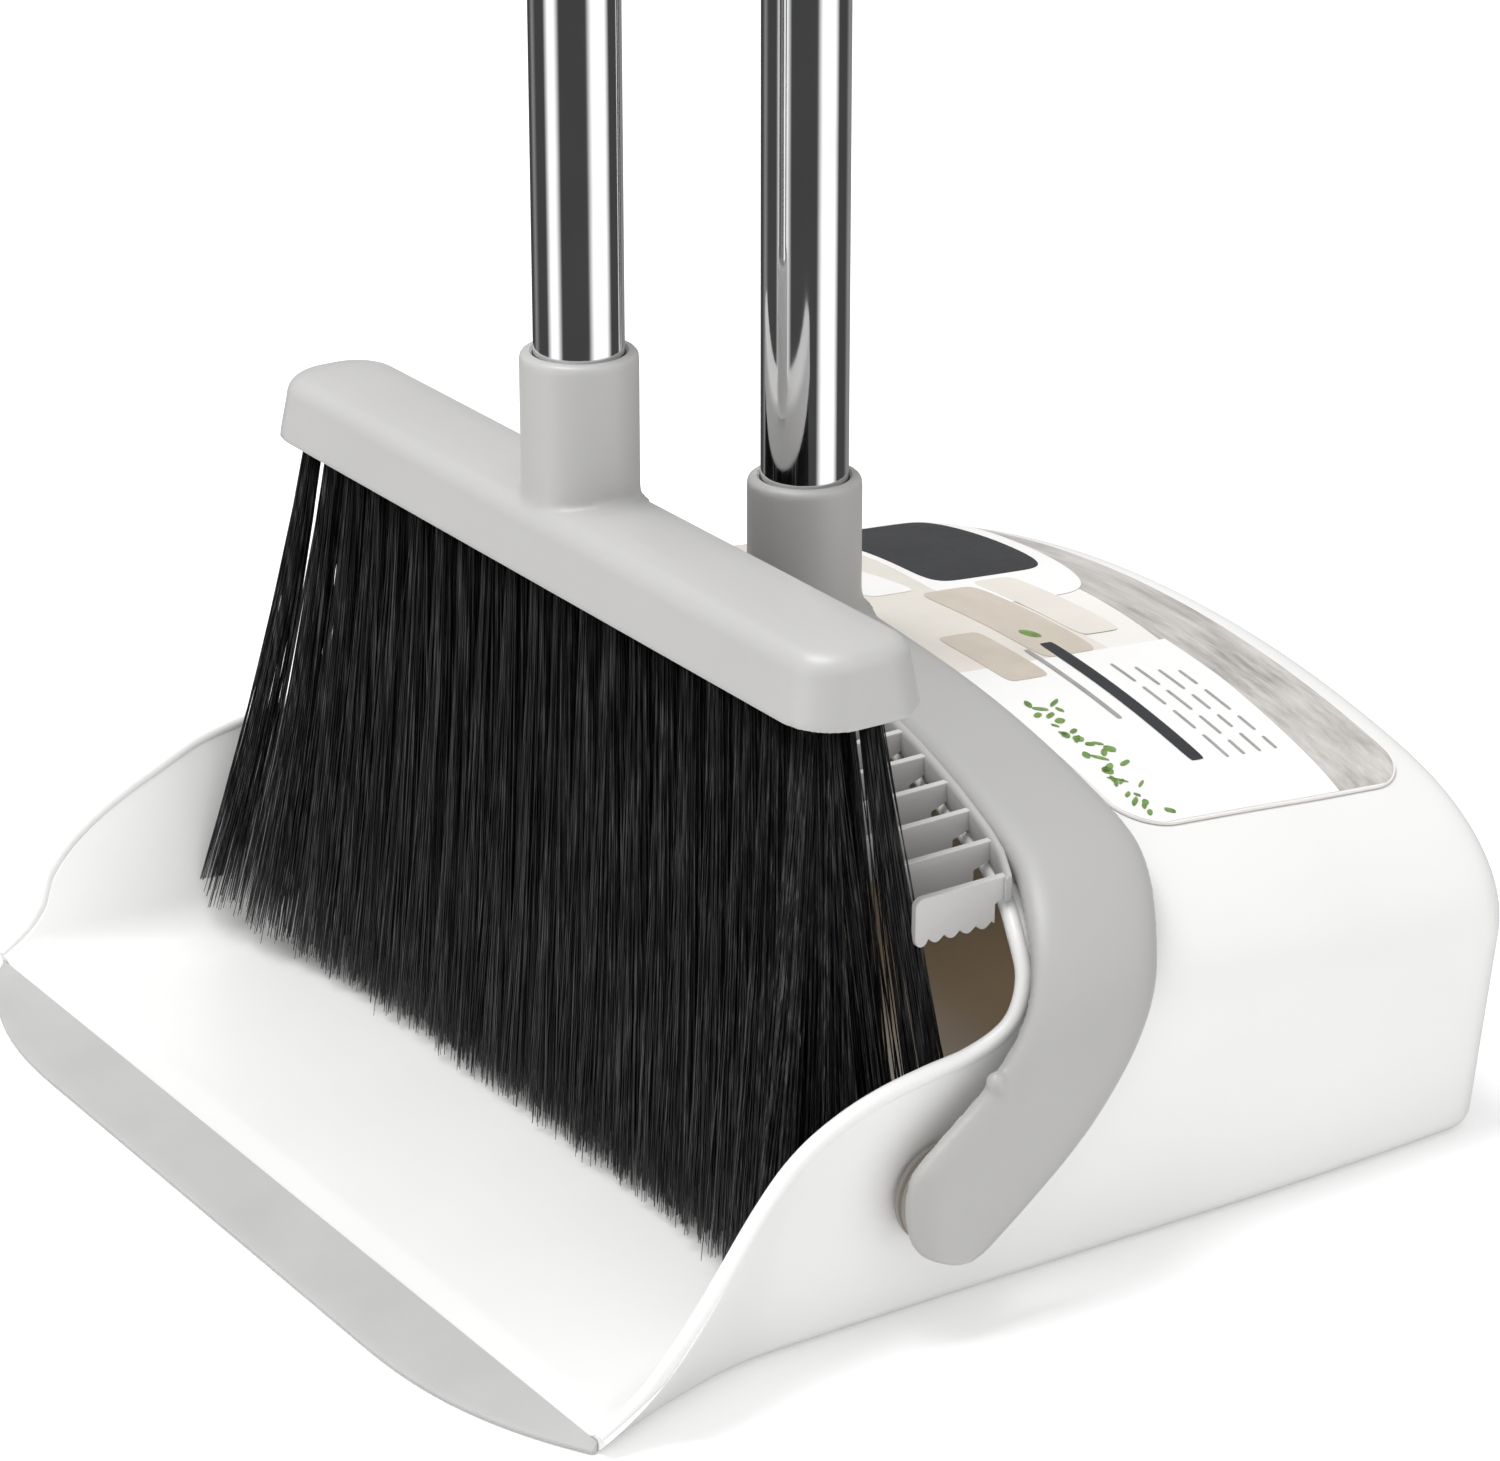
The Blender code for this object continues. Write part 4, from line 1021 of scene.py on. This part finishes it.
def build_bristles():
    """Three rows of tufts: round at the roots with gaps between, fanned and ragged at the tips."""
    for row, (name, row_y, stagger, node) in enumerate(TUFT_ROWS):
        verts, faces = [], []
        count = 21 if stagger == 0 else 20
        for k in range(count):
            centre_x = TUFT_PITCH * (k - (count - 1) / 2)
            lean = rng.uniform(-0.0015, 0.0015)
            for _ in range(STRANDS_PER_TUFT):
                r, a = 0.0028 * math.sqrt(rng.random()), rng.uniform(0, 2 * math.pi)
                dx, dy = r * math.cos(a), r * math.sin(a)
                root = (centre_x + dx, row_y + dy * 0.86, ROOT_Z)
                s = (centre_x + dx) / 0.1177
                fan = s * 0.0150 + math.copysign(abs(s)**6, s) * 0.0100
                tip_x = centre_x + dx * 2.9 + fan + lean + rng.gauss(0, 0.0018)
                outward = (row_y - (-0.0398)) + dy * 1.2
                corner = abs(s)**5
                ahead = {0: -0.0068 - 0.0185 * corner, 1: -0.0052 + rng.uniform(-0.0180, 0.0150) * corner,
                         2: -0.0020 + 0.0160 * corner}[row]
                tip_y = row_y + dy * 1.5 + ahead + 0.10 * outward + rng.gauss(0, 0.0011)
                tip_z = FLOOR_Z + 0.0008 + abs(rng.gauss(0, 0.0026))
                tip_z += (rng.random() < 0.10) * rng.uniform(0, 0.012)
                tip_z += 0.0085 * abs(s)**5
                limit = inner_wall(tip_y, tip_z)
                fillet = 0.016
                if abs(tip_x) > limit - fillet:
                    into = min(fillet, abs(tip_x) - (limit - fillet))
                    tip_z = max(tip_z, FLOOR_Z + fillet - math.sqrt(max(0.0, fillet**2 - into**2)) + 0.0006)
                tip_x = max(-limit, min(limit, tip_x))
                tip_y = min(tip_y, -0.0262 if abs(tip_x) < 0.1275 else 0.0)
                bow = (0.0010 * s + rng.gauss(0, 0.0004), rng.gauss(0, 0.0004))
                strand(verts, faces, root, (tip_x, tip_y, tip_z), bow, rng.uniform(0.00017, 0.00024))
        mesh = bpy.data.meshes.new(f"bristles_{name}")
        mesh.from_pydata(verts, [], faces)
        mesh.update()
        link(f"bristles_{name}", mesh, FIBRE_WITH_PAINTED_HIGHLIGHTS, "broom", [node], 0)


# ---- CAD nodes that stay ---------------------------------------------------------------------

CARRIED = {
    # The pivot pins take the same beige with its painted shade.
    "pivot_pin_left": BEIGE_WITH_PAINTED_SHADE, "pivot_pin_right": BEIGE_WITH_PAINTED_SHADE,
    "pan_thread_tip": DARK, "broom_thread_tip": DARK, "tuft_block": DARK, "pole_clip": GREY,
}


def finish_carried():
    for name, material in CARRIED.items():
        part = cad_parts[name]
        part.data.materials.clear()
        part.data.materials.append(material)
        part.data.shade_smooth()
        part.data.set_sharp_from_angle(angle=math.radians(38))
        if name == "pole_clip":
            soften = part.modifiers.new("soften", "BEVEL")
            soften.width = 0.0005
            soften.segments = 2
            soften.angle_limit = math.radians(50)


# ---- Studio ----------------------------------------------------------------------------------

# Softboxes all round, seen in the gloss only: (first, last azimuth in degrees, strength).
# The gaps between them stay dark, which gives the polished tubes their edges.
SOFTBOXES = [(-168, -152, 0.25), (-108, -78, 1.2), (2, 52, 1.2), (97, 147, 0.25)]
SURROUND, FEATHER = 0.06, 14.0
AMBIENT, BACKDROP = 0.77, 0.95


def build_world():
    """Even soft light, a pale backdrop and, for reflections, a ring of feathered softboxes."""
    world = bpy.data.worlds.new("studio")
    bpy.context.scene.world = world
    world.use_nodes = True
    tree = world.node_tree
    background = tree.nodes["Background"]

    def node(kind, **values):
        made = tree.nodes.new(kind)
        for key, value in values.items():
            setattr(made, key, value)
        return made

    way = node("ShaderNodeSeparateXYZ")
    tree.links.new(node("ShaderNodeTexCoord").outputs["Generated"], way.inputs[0])
    azimuth = node("ShaderNodeMath", operation="ARCTAN2")
    tree.links.new(way.outputs["Y"], azimuth.inputs[0])
    tree.links.new(way.outputs["X"], azimuth.inputs[1])
    share = node("ShaderNodeMapRange")
    share.inputs["From Min"].default_value, share.inputs["From Max"].default_value = -math.pi, math.pi
    tree.links.new(azimuth.outputs[0], share.inputs["Value"])
    ramp = node("ShaderNodeValToRGB")
    stops = []
    for first, last, strength in SOFTBOXES:
        stops += [(first - FEATHER / 2, SURROUND), (first + FEATHER / 2, strength),
                  (last - FEATHER / 2, strength), (last + FEATHER / 2, SURROUND)]
    while len(ramp.color_ramp.elements) < len(stops):
        ramp.color_ramp.elements.new(0.5)
    for element, (angle, level) in zip(ramp.color_ramp.elements, stops):
        element.position = (angle + 180) / 360
        element.color = (level, level, level, 1.0)
    tree.links.new(share.outputs["Result"], ramp.inputs["Fac"])
    rays = node("ShaderNodeLightPath")
    plain = node("ShaderNodeMix", data_type="FLOAT")
    plain.inputs[2].default_value, plain.inputs[3].default_value = AMBIENT, BACKDROP
    tree.links.new(rays.outputs["Is Camera Ray"], plain.inputs["Factor"])
    level = node("ShaderNodeMix", data_type="FLOAT")
    tree.links.new(rays.outputs["Is Glossy Ray"], level.inputs["Factor"])
    tree.links.new(plain.outputs[0], level.inputs[2])
    tree.links.new(ramp.outputs["Color"], level.inputs[3])
    tree.links.new(level.outputs[0], background.inputs["Strength"])
    background.inputs["Color"].default_value = (1.0, 1.0, 1.0, 1.0)


def build_studio():
    bm = bmesh.new()
    size = 4.0
    bm.faces.new([bm.verts.new((x * size, y * size, -0.0004))
                  for x, y in ((-1, -1), (1, -1), (1, 1), (-1, 1))])
    floor = bpy.data.objects.new("floor", mesh_of(bm, "floor"))
    paper = Mat("studio_floor", 0.75, specular=0.2)
    paper.colour(paper.ramp(paper.noise(3), [(0.3, (0.93, 0.93, 0.93)), (0.7, (0.95, 0.95, 0.95))]))
    paper.b.inputs["Emission Color"].default_value = (1.0, 1.0, 1.0, 1.0)
    paper.b.inputs["Emission Strength"].default_value = 0.16
    floor.data.materials.append(paper.m)
    bpy.context.scene.collection.objects.link(floor)
    floor.visible_glossy = False
    build_world()
    for name, place, size, power in (("key", (-0.25, -0.55, 2.3), 1.3, 40.0),
                                     ("fill", (1.2, -1.2, 1.2), 1.0, 1.5)):
        lamp = bpy.data.lights.new(name, "AREA")
        lamp.shape = "DISK"
        lamp.size = size
        lamp.energy = power
        made = bpy.data.objects.new(name, lamp)
        made.location = place
        made.rotation_euler = (Vector((0, 0, 0.1)) - Vector(place)).to_track_quat("-Z", "Y").to_euler()
        bpy.context.scene.collection.objects.link(made)
    glow = bpy.data.lights.new("hood_glow", "POINT")
    glow.energy, glow.color, glow.shadow_soft_size = 0.010, (1.0, 0.62, 0.25), 0.02
    inside = bpy.data.objects.new("hood_glow", glow)
    inside.location = (0.02, 0.095, 0.060)
    bpy.context.scene.collection.objects.link(inside)
    bpy.context.scene.view_settings.view_transform = "Standard"


VIEW_AZIMUTH, VIEW_TILT = 56.9, 21.97
VIEW_PLACE, VIEW_LENS = (0.9767, -0.6252, 0.5600), 119.95


def build_camera():
    lens = bpy.data.cameras.new("camera")
    lens.lens, lens.sensor_width = VIEW_LENS, 36.0
    lens.clip_start, lens.clip_end = 0.05, 30.0
    camera = bpy.data.objects.new("camera", lens)
    camera.location = VIEW_PLACE
    camera.rotation_euler = (math.radians(90 - VIEW_TILT), 0.0, math.radians(VIEW_AZIMUTH))
    bpy.context.scene.collection.objects.link(camera)
    bpy.context.scene.camera = camera


build_camera()
build_studio()
build_pan()
build_lip()
build_label()
build_yoke()
build_comb()
build_boss(1, "right")
build_boss(-1, "left")
for tube in ("pan_tube_lower", "pan_tube_upper"):
    build_tube(tube, PAN_POLE_Y, "handle")
for tube in ("broom_tube_lower", "broom_tube_middle", "broom_tube_upper"):
    build_tube(tube, BROOM_POLE_Y, "broom")
build_connector("pan_connector", PAN_POLE_Y, "handle")
for plug in ("broom_connector_lower", "broom_connector_upper"):
    build_connector(plug, BROOM_POLE_Y, "broom")
build_grip("pan_grip", PAN_POLE_Y, "handle")
build_grip("broom_grip", BROOM_POLE_Y, "broom")
build_head()
build_bristles()
finish_carried()
